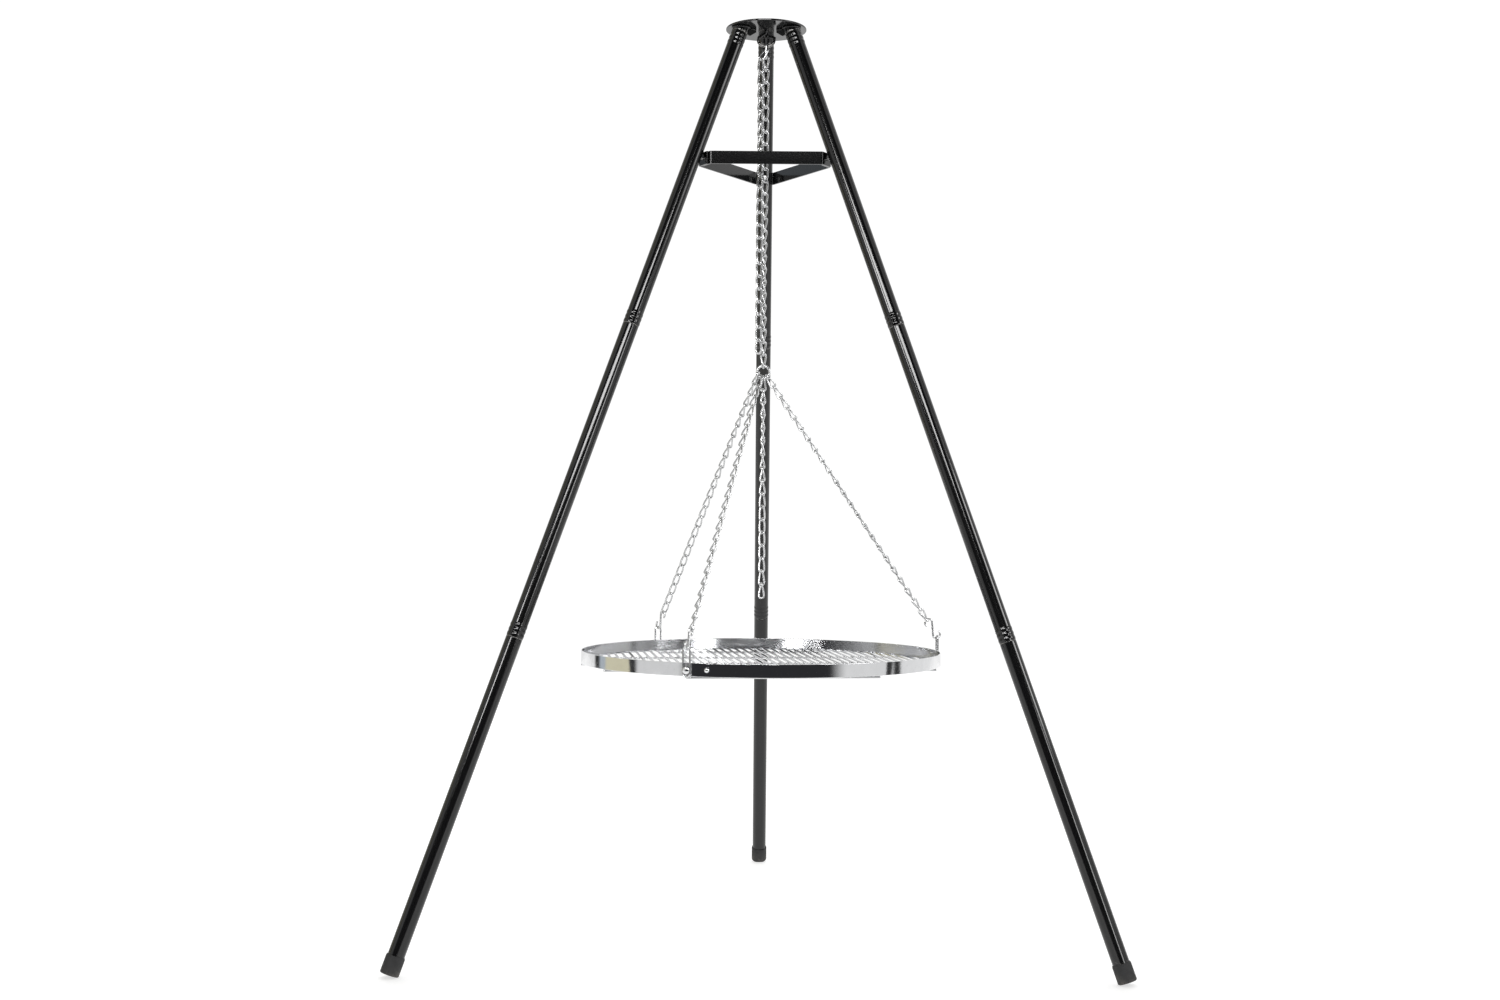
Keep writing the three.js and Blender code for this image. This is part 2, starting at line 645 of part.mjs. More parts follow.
function rimGeometry() {
  const band = new THREE.ExtrudeGeometry(bandShape(), { depth: BAND_HEIGHT, bevelEnabled: false });
  band.translate(0, 0, BAND_BOTTOM_Z);
  const holes = EYE_AZIMUTHS.map((azimuth) => rivetHole(azimuth, EYE_RIVET_Z));
  return cut(band, ...holes, rivetHole(SEAM_RIVET_ANGLE, BAND_MID_Z));
}

// A rivet with a domed head outside and a small flat head inside; heights are outward from the axis.
function rivetGeometry(azimuth, z, headRadius, headFace) {
  const insideFace = GRILL_RADIUS - BAND_THICKNESS - GAP;
  const profile = [
    [0, insideFace - CLOSING_HEAD_HEIGHT],
    [CLOSING_HEAD_RADIUS, insideFace - CLOSING_HEAD_HEIGHT],
    [CLOSING_HEAD_RADIUS, insideFace],
    [RIVET_RADIUS, insideFace],
    [RIVET_RADIUS, headFace],
    [headRadius, headFace],
    [RIVET_SHOULDER.radius * headRadius, headFace + RIVET_SHOULDER.height * RIVET_HEAD_HEIGHT],
    [0, headFace + RIVET_HEAD_HEIGHT],
  ];
  return turned(profile, SMALL_SIDES, outward(azimuth), onAxis(z));
}

function eyeGeometry(azimuth) {
  const eye = wireLoop(EYE_WIDTH, EYE_TOP_Z - EYE_BOTTOM_Z, EYE_WIRE, EYE_STEPS);
  eye.rotateX(Math.PI / 2);
  eye.rotateZ(toRadians(azimuth + 90));
  const middle = polar(azimuth, EYE_RADIUS, (EYE_TOP_Z + EYE_BOTTOM_Z) / 2);
  return eye.translate(middle.x, middle.y, middle.z);
}

function rodHalfLength(offset, reach) {
  return Math.sqrt(reach ** 2 - (Math.abs(offset) + ROD_RADIUS) ** 2);
}

// A level rod at a distance to one side of the grill's centre.
function levelRod(azimuth, offset, halfLength, z) {
  const along = outward(azimuth);
  const centre = outward(azimuth + 90).multiplyScalar(offset).setZ(z);
  const from = centre.clone().addScaledVector(along, -halfLength);
  const to = centre.clone().addScaledVector(along, halfLength);
  return rod(ROD_RADIUS, from, to, ROD_SIDES);
}

function grateGeometry() {
  const crossZ = BAND_BOTTOM_Z - GAP - ROD_RADIUS;
  const rodZ = crossZ + ROD_RADIUS + ROD_RADIUS - ROD_BITE;
  const reach = GRILL_RADIUS - BAND_THICKNESS - GAP;
  const solids = [];
  for (const share of CROSS_ROD_OFFSETS) {
    const offset = share * GRILL_RADIUS;
    const half = rodHalfLength(offset, GRILL_RADIUS);
    solids.push(toSolid(levelRod(CROSS_ROD_AZIMUTH, offset, half, crossZ)));
  }
  for (let index = 0; index < ROD_COUNT; index += 1) {
    const offset = (index - (ROD_COUNT - 1) / 2) * ROD_PITCH;
    const half = rodHalfLength(offset, reach);
    solids.push(toSolid(levelRod(CROSS_ROD_AZIMUTH + 90, offset, half, rodZ)));
  }
  return toGeometry(solids.reduce((whole, solid) => whole.add(solid)));
}

function addGrill() {
  addPiece('grill_rim', rimGeometry(), chrome());
  addPiece('grate', grateGeometry(), chrome());
  const lapFace = GRILL_RADIUS + BAND_THICKNESS + 2 * GAP;
  const seamRivet = rivetGeometry(SEAM_RIVET_ANGLE, BAND_MID_Z, SEAM_RIVET_HEAD_RADIUS, lapFace);
  addPiece('seam_rivet', seamRivet, chrome());
  const eyeFace = EYE_RADIUS + EYE_WIRE / 2 + GAP;
  EYE_AZIMUTHS.forEach((azimuth, i) => {
    const rivet = rivetGeometry(azimuth, EYE_RIVET_Z, EYE_RIVET_HEAD_RADIUS, eyeFace);
    addPiece(`grill_eye_${i + 1}`, eyeGeometry(azimuth), chrome());
    addPiece(`eye_rivet_${i + 1}`, rivet, chrome());
  });
}

// ---- Assembly -----------------------------------------------------------------------------------

addPiece('head_plate', headPlateGeometry(), blackPaint());
addPiece('chain_hook', hookGeometry(), blackPaint());
addPiece('hook_nut', hookNutGeometry(), plainSteel());
LEG_AZIMUTHS.forEach((azimuth, i) => {
  addPiece(`leg_socket_${i + 1}`, socketGeometry(azimuth), blackPaint());
  addPiece(`socket_web_${i + 1}`, webGeometry(azimuth), blackPaint());
  addLeg(i + 1, azimuth);
});
addSpreader();
addChains();
addHangers();
addGrill();

// The origin is on the ground, in the middle of the footprint's box.
const footprint = new THREE.Box3().setFromObject(tripod);
const centre = footprint.getCenter(new THREE.Vector3());
tripod.position.set(-centre.x, -centre.y, 0);

export default part;
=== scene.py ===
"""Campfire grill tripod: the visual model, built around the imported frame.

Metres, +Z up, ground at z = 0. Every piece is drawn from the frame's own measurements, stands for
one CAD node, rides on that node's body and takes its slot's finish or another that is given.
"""
import json
import math
import random

import bmesh
import bpy
from mathutils import Matrix, Quaternion, Vector


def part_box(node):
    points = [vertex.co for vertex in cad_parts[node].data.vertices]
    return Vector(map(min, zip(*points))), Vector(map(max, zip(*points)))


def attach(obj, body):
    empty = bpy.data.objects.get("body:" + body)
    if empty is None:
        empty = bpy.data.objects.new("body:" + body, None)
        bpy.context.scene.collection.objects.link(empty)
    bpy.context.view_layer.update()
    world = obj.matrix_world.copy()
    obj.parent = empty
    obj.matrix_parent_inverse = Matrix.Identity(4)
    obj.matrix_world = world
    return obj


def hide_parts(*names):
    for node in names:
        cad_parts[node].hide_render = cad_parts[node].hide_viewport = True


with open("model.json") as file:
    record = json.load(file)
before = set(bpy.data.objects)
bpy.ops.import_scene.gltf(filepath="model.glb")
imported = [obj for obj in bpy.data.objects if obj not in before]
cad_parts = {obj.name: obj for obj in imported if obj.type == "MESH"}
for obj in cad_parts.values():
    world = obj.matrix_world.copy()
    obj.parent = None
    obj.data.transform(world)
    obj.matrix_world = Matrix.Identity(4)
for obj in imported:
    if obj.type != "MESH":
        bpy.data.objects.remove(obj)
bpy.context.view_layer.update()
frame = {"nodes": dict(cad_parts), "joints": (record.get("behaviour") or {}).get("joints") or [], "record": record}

MM = 0.001
RIGHT = Vector((1, 0, 0))
BACK = Vector((0, 1, 0))
UP = Vector((0, 0, 1))
BODY_OF = {
    node: body
    for body, members in frame["record"]["behaviour"]["bodies"].items()
    for node in members
}
SLOT_OF = {part["node"]: part["material_slot"] for part in frame["record"]["subparts"]}
JOINTS = {joint["name"]: joint for joint in frame["joints"]}

PLATE_LOW, PLATE_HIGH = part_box("head_plate")
AXIS_X = (PLATE_LOW.x + PLATE_HIGH.x) / 2
AXIS_Y = (PLATE_LOW.y + PLATE_HIGH.y) / 2


def at(x, y, z):
    """A point whose x and y are measured from the tripod's axis."""
    return Vector((AXIS_X + x, AXIS_Y + y, z))


def outward(azimuth):
    """The level direction at an azimuth in degrees."""
    angle = math.radians(azimuth)
    return Vector((math.cos(angle), math.sin(angle), 0))


def polar(azimuth, radius, z):
    """A point at an azimuth in degrees, a distance from the tripod's axis and a height."""
    return at(0, 0, z) + radius * outward(azimuth)


def azimuth_of(direction):
    return math.degrees(math.atan2(direction.y, direction.x))


def centre_of(node):
    low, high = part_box(node)
    return (low + high) / 2


def node_points(node):
    return [vertex.co for vertex in frame["nodes"][node].data.vertices]


def reach(node, origin, direction):
    """How far the node's nearest and farthest points lie from an origin along a direction."""
    reaches = [(point - origin).dot(direction) for point in node_points(node)]
    return min(reaches), max(reaches)


def arc(first, last, steps):
    """Angles in radians, evenly spaced between two angles in degrees, with both ends."""
    return [math.radians(first + (last - first) * step / steps) for step in range(steps + 1)]


def smooth_step(t):
    return t * t * (3 - 2 * t)


def add_object(name, data):
    obj = bpy.data.objects.new(name, data)
    bpy.context.scene.collection.objects.link(obj)
    return obj


# ---- Camera --------------------------------------------------------------------------------------

CAMERA_DISTANCE = 2.9
CAMERA_HEIGHT = 0.658
CAMERA_TURN = (90.53, -0.51, 0.376)  # degrees: tilt, roll and pan
CAMERA_LENS = 43.87


def add_camera():
    data = bpy.data.cameras.new("camera")
    data.lens = CAMERA_LENS
    camera = add_object("camera", data)
    camera.location = at(0, -CAMERA_DISTANCE, CAMERA_HEIGHT)
    camera.rotation_euler = [math.radians(angle) for angle in CAMERA_TURN]
    bpy.context.scene.camera = camera


add_camera()

# ---- Materials -----------------------------------------------------------------------------------

MIX_COLOURS = (6, 7)  # the Mix node's two colour inputs
MIX_RESULT = 2  # its colour output
MOST = (0.3, 0.7)  # the range that most of a noise lies in


class Nodes:
    """A node tree under construction."""

    def __init__(self, tree):
        self.tree = tree

    def add(self, kind, **settings):
        node = self.tree.nodes.new(kind)
        for setting, value in settings.items():
            setattr(node, setting, value)
        return node

    def feed(self, source, socket):
        """Sets a socket from another node's output, a colour or a number."""
        if isinstance(source, tuple):
            socket.default_value = (*source, 1)
        elif isinstance(source, (int, float)):
            socket.default_value = source
        else:
            self.tree.links.new(source, socket)

    def combine(self, operation, first, second):
        node = self.add("ShaderNodeMath", operation=operation)
        self.feed(first, node.inputs[0])
        self.feed(second, node.inputs[1])
        return node.outputs["Value"]

    def split(self, vector):
        node = self.add("ShaderNodeSeparateXYZ")
        self.feed(vector, node.inputs["Vector"])
        return node.outputs


class Finish(Nodes):
    """A material under construction: a Principled shader and the noises that vary it."""

    def __init__(self, name, **sockets):
        self.material = bpy.data.materials.new(name)
        self.material.use_nodes = True
        super().__init__(self.material.node_tree)
        self.shader = self.tree.nodes["Principled BSDF"]
        for socket, value in sockets.items():
            self.drive(socket.replace("_", " "), value)
        self.place = self.add("ShaderNodeTexCoord").outputs["Object"]

    def drive(self, socket, source):
        self.feed(source, self.shader.inputs[socket])

    def noise(self, scale, detail, distortion=0.0):
        """Noise over the object's own space; the scale is in features per metre."""
        texture = self.add("ShaderNodeTexNoise")
        self.feed(self.place, texture.inputs["Vector"])
        self.feed(scale, texture.inputs["Scale"])
        self.feed(detail, texture.inputs["Detail"])
        self.feed(distortion, texture.inputs["Distortion"])
        return texture.outputs["Fac"]

    def spread(self, source, from_range, to_range):
        """The source's from_range, clamped and stretched over to_range."""
        node = self.add("ShaderNodeMapRange", interpolation_type="SMOOTHSTEP")
        node.inputs["From Min"].default_value, node.inputs["From Max"].default_value = from_range
        node.inputs["To Min"].default_value, node.inputs["To Max"].default_value = to_range
        self.feed(source, node.inputs["Value"])
        return node.outputs["Result"]

    def blend(self, factor, first, second):
        """A colour between first and second; each is a colour or another node's output."""
        node = self.add("ShaderNodeMix", data_type="RGBA")
        self.feed(factor, node.inputs["Factor"])
        for index, colour in zip(MIX_COLOURS, (first, second)):
            self.feed(colour, node.inputs[index])
        return node.outputs[MIX_RESULT]

    def attribute(self, name):
        return self.add("ShaderNodeAttribute", attribute_name=name).outputs["Fac"]

    def bump(self, *layers):
        """Stacks (height, depth in metres) layers of bump on the shader's normal."""
        normal = None
        for height, depth in layers:
            node = self.add("ShaderNodeBump")
            self.feed(depth, node.inputs["Distance"])
            self.feed(height, node.inputs["Height"])
            if normal is not None:
                self.feed(normal, node.inputs["Normal"])
            normal = node.outputs["Normal"]
        self.drive("Normal", normal)


def black_paint():
    """Gloss black enamel with a faint orange peel, dust, and bare metal where parts rub."""
    finish = Finish("black_paint", IOR=1.5)
    cloud = finish.noise(9, detail=4)
    peel = finish.noise(520, detail=2)
    chips = finish.noise(340, detail=5, distortion=0.6)
    dust = finish.spread(finish.noise(46, detail=2), (0.5, 0.8), (0.0, 0.05))
    paint = finish.blend(cloud, (0.0062, 0.0063, 0.0067), (0.0105, 0.0105, 0.011))
    dusty = finish.blend(dust, paint, (0.05, 0.049, 0.046))
    rubbed = finish.combine("MULTIPLY", finish.attribute("wear"), chips)
    bare = finish.spread(rubbed, (0.34, 0.44), (0.0, 1.0))
    finish.drive("Base Color", finish.blend(bare, dusty, (0.3, 0.295, 0.285)))
    finish.drive("Metallic", bare)
    gloss = finish.spread(cloud, MOST, (0.1, 0.12))
    dulled = finish.spread(rubbed, (0.2, 0.5), (0.0, 0.42))
    finish.drive("Roughness", finish.combine("MAXIMUM", gloss, dulled))
    finish.bump((peel, 0.0012 * MM), (bare, -0.02 * MM))
    return finish.material


def foot_rubber():
    """Matt black rubber, paler with dust and grit towards the ground."""
    finish = Finish("foot_rubber", IOR=1.45)
    mottle = finish.noise(120, detail=6)
    grain = finish.noise(1900, detail=3)
    low = finish.spread(finish.split(finish.place)["Z"], (2 * MM, 20 * MM), (0.55, 0.0))
    grit = finish.combine("MULTIPLY", low, finish.spread(mottle, (0.4, 0.62), (0.2, 1.0)))
    rubber = finish.blend(mottle, (0.018, 0.018, 0.019), (0.034, 0.034, 0.035))
    finish.drive("Base Color", finish.blend(grit, rubber, (0.16, 0.15, 0.135)))
    finish.drive("Roughness", finish.spread(mottle, MOST, (0.58, 0.82)))
    finish.bump((grain, 0.08 * MM), (mottle, 0.1 * MM))
    return finish.material


def bright_metal(name, dark, light, roughness, ripple, tarnish):
    """Plated metal with smudges, fine grain, a slight ripple and tarnish in patches."""
    finish = Finish(name, Metallic=1.0)
    cloud = finish.noise(60, detail=4, distortion=0.4)
    smudge = finish.noise(210, detail=5, distortion=0.8)
    grain = finish.noise(2600, detail=2)
    wave = finish.noise(38, detail=1)
    base = finish.blend(cloud, dark, light)
    stained = finish.spread(smudge, (0.56, 0.76), (0.0, tarnish))
    stain = tuple(0.45 * part for part in dark)
    finish.drive("Base Color", finish.blend(stained, base, stain))
    soft = finish.spread(smudge, (0.32, 0.68), roughness)
    specks = finish.spread(grain, MOST, (0.0, 0.03))
    finish.drive("Roughness", finish.combine("ADD", soft, specks))
    finish.bump((wave, ripple), (grain, 0.012 * MM))
    return finish.material


METALS = {  # darkest and lightest colour, least and most roughness, depth of ripple, tarnish
    "zinc_steel": ((0.54, 0.545, 0.55), (0.72, 0.725, 0.73), (0.16, 0.3), 0.06 * MM, 0.35),
    "chrome": ((0.7, 0.705, 0.715), (0.78, 0.785, 0.795), (0.015, 0.05), 0.025 * MM, 0.1),
    "plated_wire": ((0.55, 0.555, 0.565), (0.68, 0.685, 0.695), (0.12, 0.22), 0.04 * MM, 0.2),
    "plain_steel": ((0.44, 0.44, 0.435), (0.58, 0.58, 0.575), (0.24, 0.42), 0.1 * MM, 0.5),
}
MATERIALS = {"black_paint": black_paint(), "foot_rubber": foot_rubber()}
for metal, look in METALS.items():
    MATERIALS[metal] = bright_metal(metal, *look)

# ---- Mesh building -------------------------------------------------------------------------------

SHARP_ANGLE = math.radians(32)
BEVEL_ANGLE = math.radians(40)
BEVEL_SEGMENTS = 3
SQUARE = ((1, 1), (-1, 1), (-1, -1), (1, -1))
DRILL_SIDES = 24
FILLET_STEPS = 6
END_STEPS = 4
END_ROUNDING = 0.4  # share of the wire's radius
AXIS_FLAT = 0.2 * MM  # radius of the small flat where a solid turned shape meets its axis


class Shells:
    """Closed shells, with a wear value for each point, that become one mesh."""

    def __init__(self):
        self.points = []
        self.faces = []
        self.wear = []

    def add_rings(self, rings, closed, wear=None):
        """Rings of equally many points, joined side by side; open runs get flat ends."""
        start = len(self.points)
        sides = len(rings[0])
        count = len(rings)
        for ring in range(count if closed else count - 1):
            here = start + ring * sides
            there = start + (ring + 1) % count * sides
            for side in range(sides):
                after = (side + 1) % sides
                self.faces.append((here + side, here + after, there + after, there + side))
        if not closed:
            for end in (start, start + (count - 1) * sides):
                self.faces.append(tuple(range(end, end + sides)))
        for ring, value in zip(rings, wear or [0.0] * count):
            self.points.extend(ring)
            self.wear.extend([value] * sides)

    def build(self, name, finish):
        """The shells as an object whose faces face out."""
        mesh = bpy.data.meshes.new(name)
        mesh.from_pydata(self.points, [], self.faces)
        layer = mesh.attributes.new("wear", "FLOAT", "POINT")
        layer.data.foreach_set("value", self.wear)
        face_out(mesh)
        mesh.materials.append(MATERIALS[finish])
        return add_object(name, mesh)


def face_out(mesh):
    shape = bmesh.new()
    shape.from_mesh(mesh)
    bmesh.ops.recalc_face_normals(shape, faces=shape.faces)
    shape.to_mesh(mesh)
    shape.free()


def apply_modifiers(obj):
    evaluated = obj.evaluated_get(bpy.context.evaluated_depsgraph_get())
    mesh = bpy.data.meshes.new_from_object(evaluated)
    obj.modifiers.clear()
    obj.data = mesh


def settle(obj):
    """Applies the object's modifiers and sets which of its edges stay sharp."""
    if obj.modifiers:
        apply_modifiers(obj)
    obj.data.shade_smooth()
    obj.data.set_sharp_from_angle(angle=SHARP_ANGLE)


def combine_with(obj, tool, operation):
    """Cuts the object by a tool, or keeps only what lies inside it, and removes the tool."""
    boolean = obj.modifiers.new(operation, "BOOLEAN")
    boolean.operation = operation
    boolean.object = tool
    settle(obj)
    bpy.data.objects.remove(tool)


def bevel(obj, width):
    modifier = obj.modifiers.new("bevel", "BEVEL")
    modifier.width = width
    modifier.segments = BEVEL_SEGMENTS
    modifier.limit_method = "ANGLE"
    modifier.angle_limit = BEVEL_ANGLE
    settle(obj)


def join_shells(obj, shells):
    """Adds more shells, in the object's own finish, to its mesh."""
    extra = shells.build("extra", "plain_steel")
    shape = bmesh.new()
    shape.from_mesh(obj.data)
    shape.from_mesh(extra.data)
    shape.to_mesh(obj.data)
    shape.free()
    bpy.data.objects.remove(extra)


def place(obj, node):
    """Lets a finished object, with its flat faces shaded flat, stand for a CAD node."""
    settle(obj)
    obj.modifiers.new("flat_faces", "WEIGHTED_NORMAL").keep_sharp = True
    apply_modifiers(obj)
    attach(obj, BODY_OF[node])
    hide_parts(node)


def visual(shells, node, finish=None):
    """An object named after the CAD node that it stands for, in its slot's finish or another."""
    return shells.build(f"{node}_visual", finish or SLOT_OF[node])


def place_shells(shells, node, finish=None):
    place(visual(shells, node, finish), node)


def ring_points(centre, first, second, radius, sides):
    """Points round a circle, or an ellipse where the two directions differ in length."""
    points = []
    for side in range(sides):
        angle = math.tau * side / sides
        points.append(centre + radius * (math.cos(angle) * first + math.sin(angle) * second))
    return points


def perpendiculars(direction):
    """Two unit directions that make a right-handed frame with this one."""
    helper = UP if abs(direction.z) < 0.9 else RIGHT
    first = helper.cross(direction).normalized()
    return first, direction.cross(first)


def lathe(profile, origin, axis, sides, closed=False):
    """Shells of (radius, height, wear) points turned about an axis."""
    first, second = perpendiculars(axis)
    rings = [
        ring_points(origin + height * axis, first, second, radius, sides)
        for radius, height, _ in profile
    ]
    shells = Shells()
    shells.add_rings(rings, closed, [wear for _, _, wear in profile])
    return shells


def fillet(radius, height, size, turn):
    """A quarter round at a lathe's outer corner; turn is +1 for a corner that faces up the axis."""
    return [
        (radius - size * (1 - math.cos(angle)), height - turn * size * (1 - math.sin(angle)), 0)
        for angle in arc(0, 90, FILLET_STEPS)
    ]


def tangents(path, closed):
    count = len(path)
    result = []
    for index in range(count):
        before = path[index - 1] if closed or index > 0 else path[0]
        after = path[(index + 1) % count] if closed or index < count - 1 else path[-1]
        result.append((after - before).normalized())
    return result


def carried_normals(path_tangents, closed):
    """Normals carried along a path without twisting; on a closed path they meet up."""
    normals = [perpendiculars(path_tangents[0])[0]]
    for tangent in path_tangents[1:]:
        last = normals[-1]
        normals.append((last - last.dot(tangent) * tangent).normalized())
    if closed:
        start = path_tangents[0]
        end = (normals[-1] - normals[-1].dot(start) * start).normalized()
        error = math.atan2(start.dot(end.cross(normals[0])), end.dot(normals[0]))
        for index, tangent in enumerate(path_tangents):
            turn = Quaternion(tangent, error * index / len(normals))
            normals[index] = turn @ normals[index]
    return normals


def wire(shells, path, radii, sides, closed=False, wear=None):
    """Round wire along a path, with one radius for all of it or one for each point."""
    path_tangents = tangents(path, closed)
    normals = carried_normals(path_tangents, closed)
    rings = []
    for index, point in enumerate(path):
        radius = radii[index] if isinstance(radii, list) else radii
        second = path_tangents[index].cross(normals[index])
        rings.append(ring_points(point, normals[index], second, radius, sides))
    shells.add_rings(rings, closed, wear)


def rounded_end(end, direction, radius):
    """(point, radius) pairs over the edge of a cut end, from the side to the end face."""
    size = END_ROUNDING * radius
    return [
        (end - size * (1 - math.sin(angle)) * direction, radius - size * (1 - math.cos(angle)))
        for angle in arc(0, 90, END_STEPS)
    ]


def blunt_wire(shells, path, radius, sides):
    """Round wire whose two cut ends are rounded over."""
    path_tangents = tangents(path, False)
    pairs = rounded_end(path[0], -path_tangents[0], radius)[::-1]
    pairs += [(point, radius) for point in path[1:-1]]
    pairs += rounded_end(path[-1], path_tangents[-1], radius)
    wire(shells, [point for point, _ in pairs], [own for _, own in pairs], sides)


def smooth_path(points, steps):
    """A centripetal Catmull-Rom line through the points, `steps` to each stretch."""
    ends = [2 * points[0] - points[1], *points, 2 * points[-1] - points[-2]]
    path = [points[0].copy()]
    for index in range(len(points) - 1):
        p0, p1, p2, p3 = ends[index : index + 4]
        t1 = math.sqrt((p1 - p0).length)
        t2 = t1 + math.sqrt((p2 - p1).length)
        t3 = t2 + math.sqrt((p3 - p2).length)
        for step in range(1, steps + 1):
            t = t1 + (t2 - t1) * step / steps
            a1 = p0.lerp(p1, t / t1)
            a2 = p1.lerp(p2, (t - t1) / (t2 - t1))
            a3 = p2.lerp(p3, (t - t2) / (t3 - t2))
            b1 = a1.lerp(a2, t / t2)
            b2 = a2.lerp(a3, (t - t1) / (t3 - t1))
            path.append(b1.lerp(b2, (t - t1) / (t2 - t1)))
    return path


def block(centre, axes, sizes):
    """A block to cut with, its edges along three perpendicular unit directions."""
    first, second, third = (axis * size / 2 for axis, size in zip(axes, sizes))
    shells = Shells()
    ends = (centre - third, centre + third)
    shells.add_rings([[end + x * first + y * second for x, y in SQUARE] for end in ends], closed=False)
    return shells.build("cutter", "plain_steel")


def cut_level(obj, face_centre, size, side):
    """Cuts away all that lies above (side 1) or below (side -1) a level face."""
    tool = block(face_centre + side * size / 2 * UP, (RIGHT, BACK, UP), (size, size, size))
    combine_with(obj, tool, "DIFFERENCE")


def drill(obj, start, end, radius):
    """Cuts a round hole from start to end."""
    shells = Shells()
    wire(shells, [start, end], radius, DRILL_SIDES)
    combine_with(obj, shells.build("drill", "plain_steel"), "DIFFERENCE")


def slab(node, outline, thickness, across):
    """A flat plate: an outline of points, thickened both ways along a unit direction."""
    shells = Shells()
    sides = [[point + side * thickness / 2 * across for point in outline] for side in (-1, 1)]
    shells.add_rings(sides, closed=False)
    return visual(shells, node)


# ---- Legs ----------------------------------------------------------------------------------------

GAP = 0.3 * MM
TUBE_RADIUS = 12.5 * MM
TUBE_WALL = 1 * MM
TUBE_BORE = TUBE_RADIUS - TUBE_WALL
TUBE_SIDES = 72
WALL_RINGS = 8
BEAD_HEIGHT = 0.5 * MM
BEAD_PITCH = 7.2 * MM
BEAD_START = 1 * MM
BEAD_COUNT = 3
BEAD_STEPS = 12
BEAD_SHARPNESS = 1.4
BEAD_WEAR = 0.3
SPIGOT_LENGTH = 68 * MM
SPIGOT_TAPER = 3 * MM
SPIGOT_TAPER_STEPS = 6
SPIGOT_RADIUS = TUBE_BORE - GAP
SPIGOT_BORE = SPIGOT_RADIUS - TUBE_WALL
SPIGOT_WEAR = 0.85
LIP_STEPS = 6
LIP_WEAR = 0.95
SHOULDER_CORNER = (  # in from the tube's outside, down from the shoulder, wear
    (0, 0.6 * MM, 0),
    (0.25 * MM, 0.15 * MM, LIP_WEAR),
    (0.6 * MM, 0, LIP_WEAR),
)
CAP_RADIUS = 14 * MM
CAP_FLOOR = 4 * MM
CAP_EDGE = 2.4 * MM
CAP_RIM_DEPTH = 0.5 * MM
CAP_RIM_LENGTH = 1.5 * MM
CAP_RIM_SLOPE = 0.7 * MM
SCREW_RADIUS = 2.5 * MM
SCREW_HEIGHT = sum(corner.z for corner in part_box("spreader_screw_1")) / 2
SCREW_HOLE_REACH = 2.5 * TUBE_RADIUS


class Leg:
    """The line of one leg's axis, measured from the frame; `along` is metres down that line."""

    def __init__(self, number):
        middle = node_points(f"leg_{number}_middle")
        self.number = number
        self.down = Vector(JOINTS[f"leg_{number}_middle_pull"]["axis"]).normalized()
        self.azimuth = azimuth_of(self.down)
        self.origin = sum(middle, Vector()) / len(middle)

    def point(self, along):
        return self.origin + along * self.down

    def span(self, node):
        """Where the node starts and ends along the leg."""
        return reach(node, self.origin, self.down)

    def point_at_height(self, z):
        return self.point((z - self.origin.z) / self.down.z)

    def turn(self, profile, closed=True):
        """Shells of (radius, along, wear) points turned about the leg's axis."""
        return lathe(profile, self.point(0), self.down, TUBE_SIDES, closed)


LEGS = [Leg(number) for number in (1, 2, 3)]


def rolled_lip(bore, radius, edge, sign):
    """A tube's open edge, rounded from the bore to the outside; sign points into the tube."""
    middle, size = (bore + radius) / 2, (radius - bore) / 2
    return [
        (middle - size * math.cos(angle), edge + sign * size * (1 - math.sin(angle)), LIP_WEAR)
        for angle in arc(0, 180, LIP_STEPS)
    ]


def plain_mouth(edge, sign):
    return rolled_lip(TUBE_BORE, TUBE_RADIUS, edge, sign)


def beaded_mouth(edge, sign):
    """An open end, from inside the tube, round its lip, to the outside past its rolled beads."""
    profile = plain_mouth(edge, sign)
    for step in range(BEAD_COUNT * BEAD_STEPS + 1):
        t = step / BEAD_STEPS
        rise = abs(math.sin(math.pi * t)) ** BEAD_SHARPNESS
        along = edge + sign * (BEAD_START + t * BEAD_PITCH)
        profile.append((TUBE_RADIUS + rise * BEAD_HEIGHT, along, BEAD_WEAR * rise))
    return profile


def spigot(shoulder):
    """A reduced upper end, from the outside of the tube, round its open edge, to the inside."""
    profile = [(TUBE_RADIUS - inset, shoulder + drop, wear) for inset, drop, wear in SHOULDER_CORNER]
    profile.append((SPIGOT_RADIUS, shoulder, SPIGOT_WEAR))
    profile += rolled_lip(SPIGOT_BORE, SPIGOT_RADIUS, shoulder - SPIGOT_LENGTH, 1)[::-1]
    for step in range(SPIGOT_TAPER_STEPS + 1):
        t = step / SPIGOT_TAPER_STEPS
        radius = SPIGOT_BORE + smooth_step(t) * (TUBE_BORE - SPIGOT_BORE)
        profile.append((radius, shoulder + t * SPIGOT_TAPER, 0))
    return profile


def plain_wall(start, end):
    """A few rings along the plain stretch between two ends of a section."""
    step = (end - start) / WALL_RINGS
    return [(TUBE_RADIUS, start + ring * step, 0) for ring in range(1, WALL_RINGS)]


def add_upper_section(leg):
    """The top section, beaded at both ends and drilled for the spreader's screw."""
    node = f"leg_{leg.number}_upper"
    top, bottom = leg.span(node)
    profile = beaded_mouth(top, 1) + plain_wall(top, bottom) + beaded_mouth(bottom, -1)[::-1]
    section = visual(leg.turn(profile), node)
    centre = leg.point_at_height(SCREW_HEIGHT)
    drill(section, centre, centre - SCREW_HOLE_REACH * outward(leg.azimuth), SCREW_RADIUS + GAP)
    place(section, node)


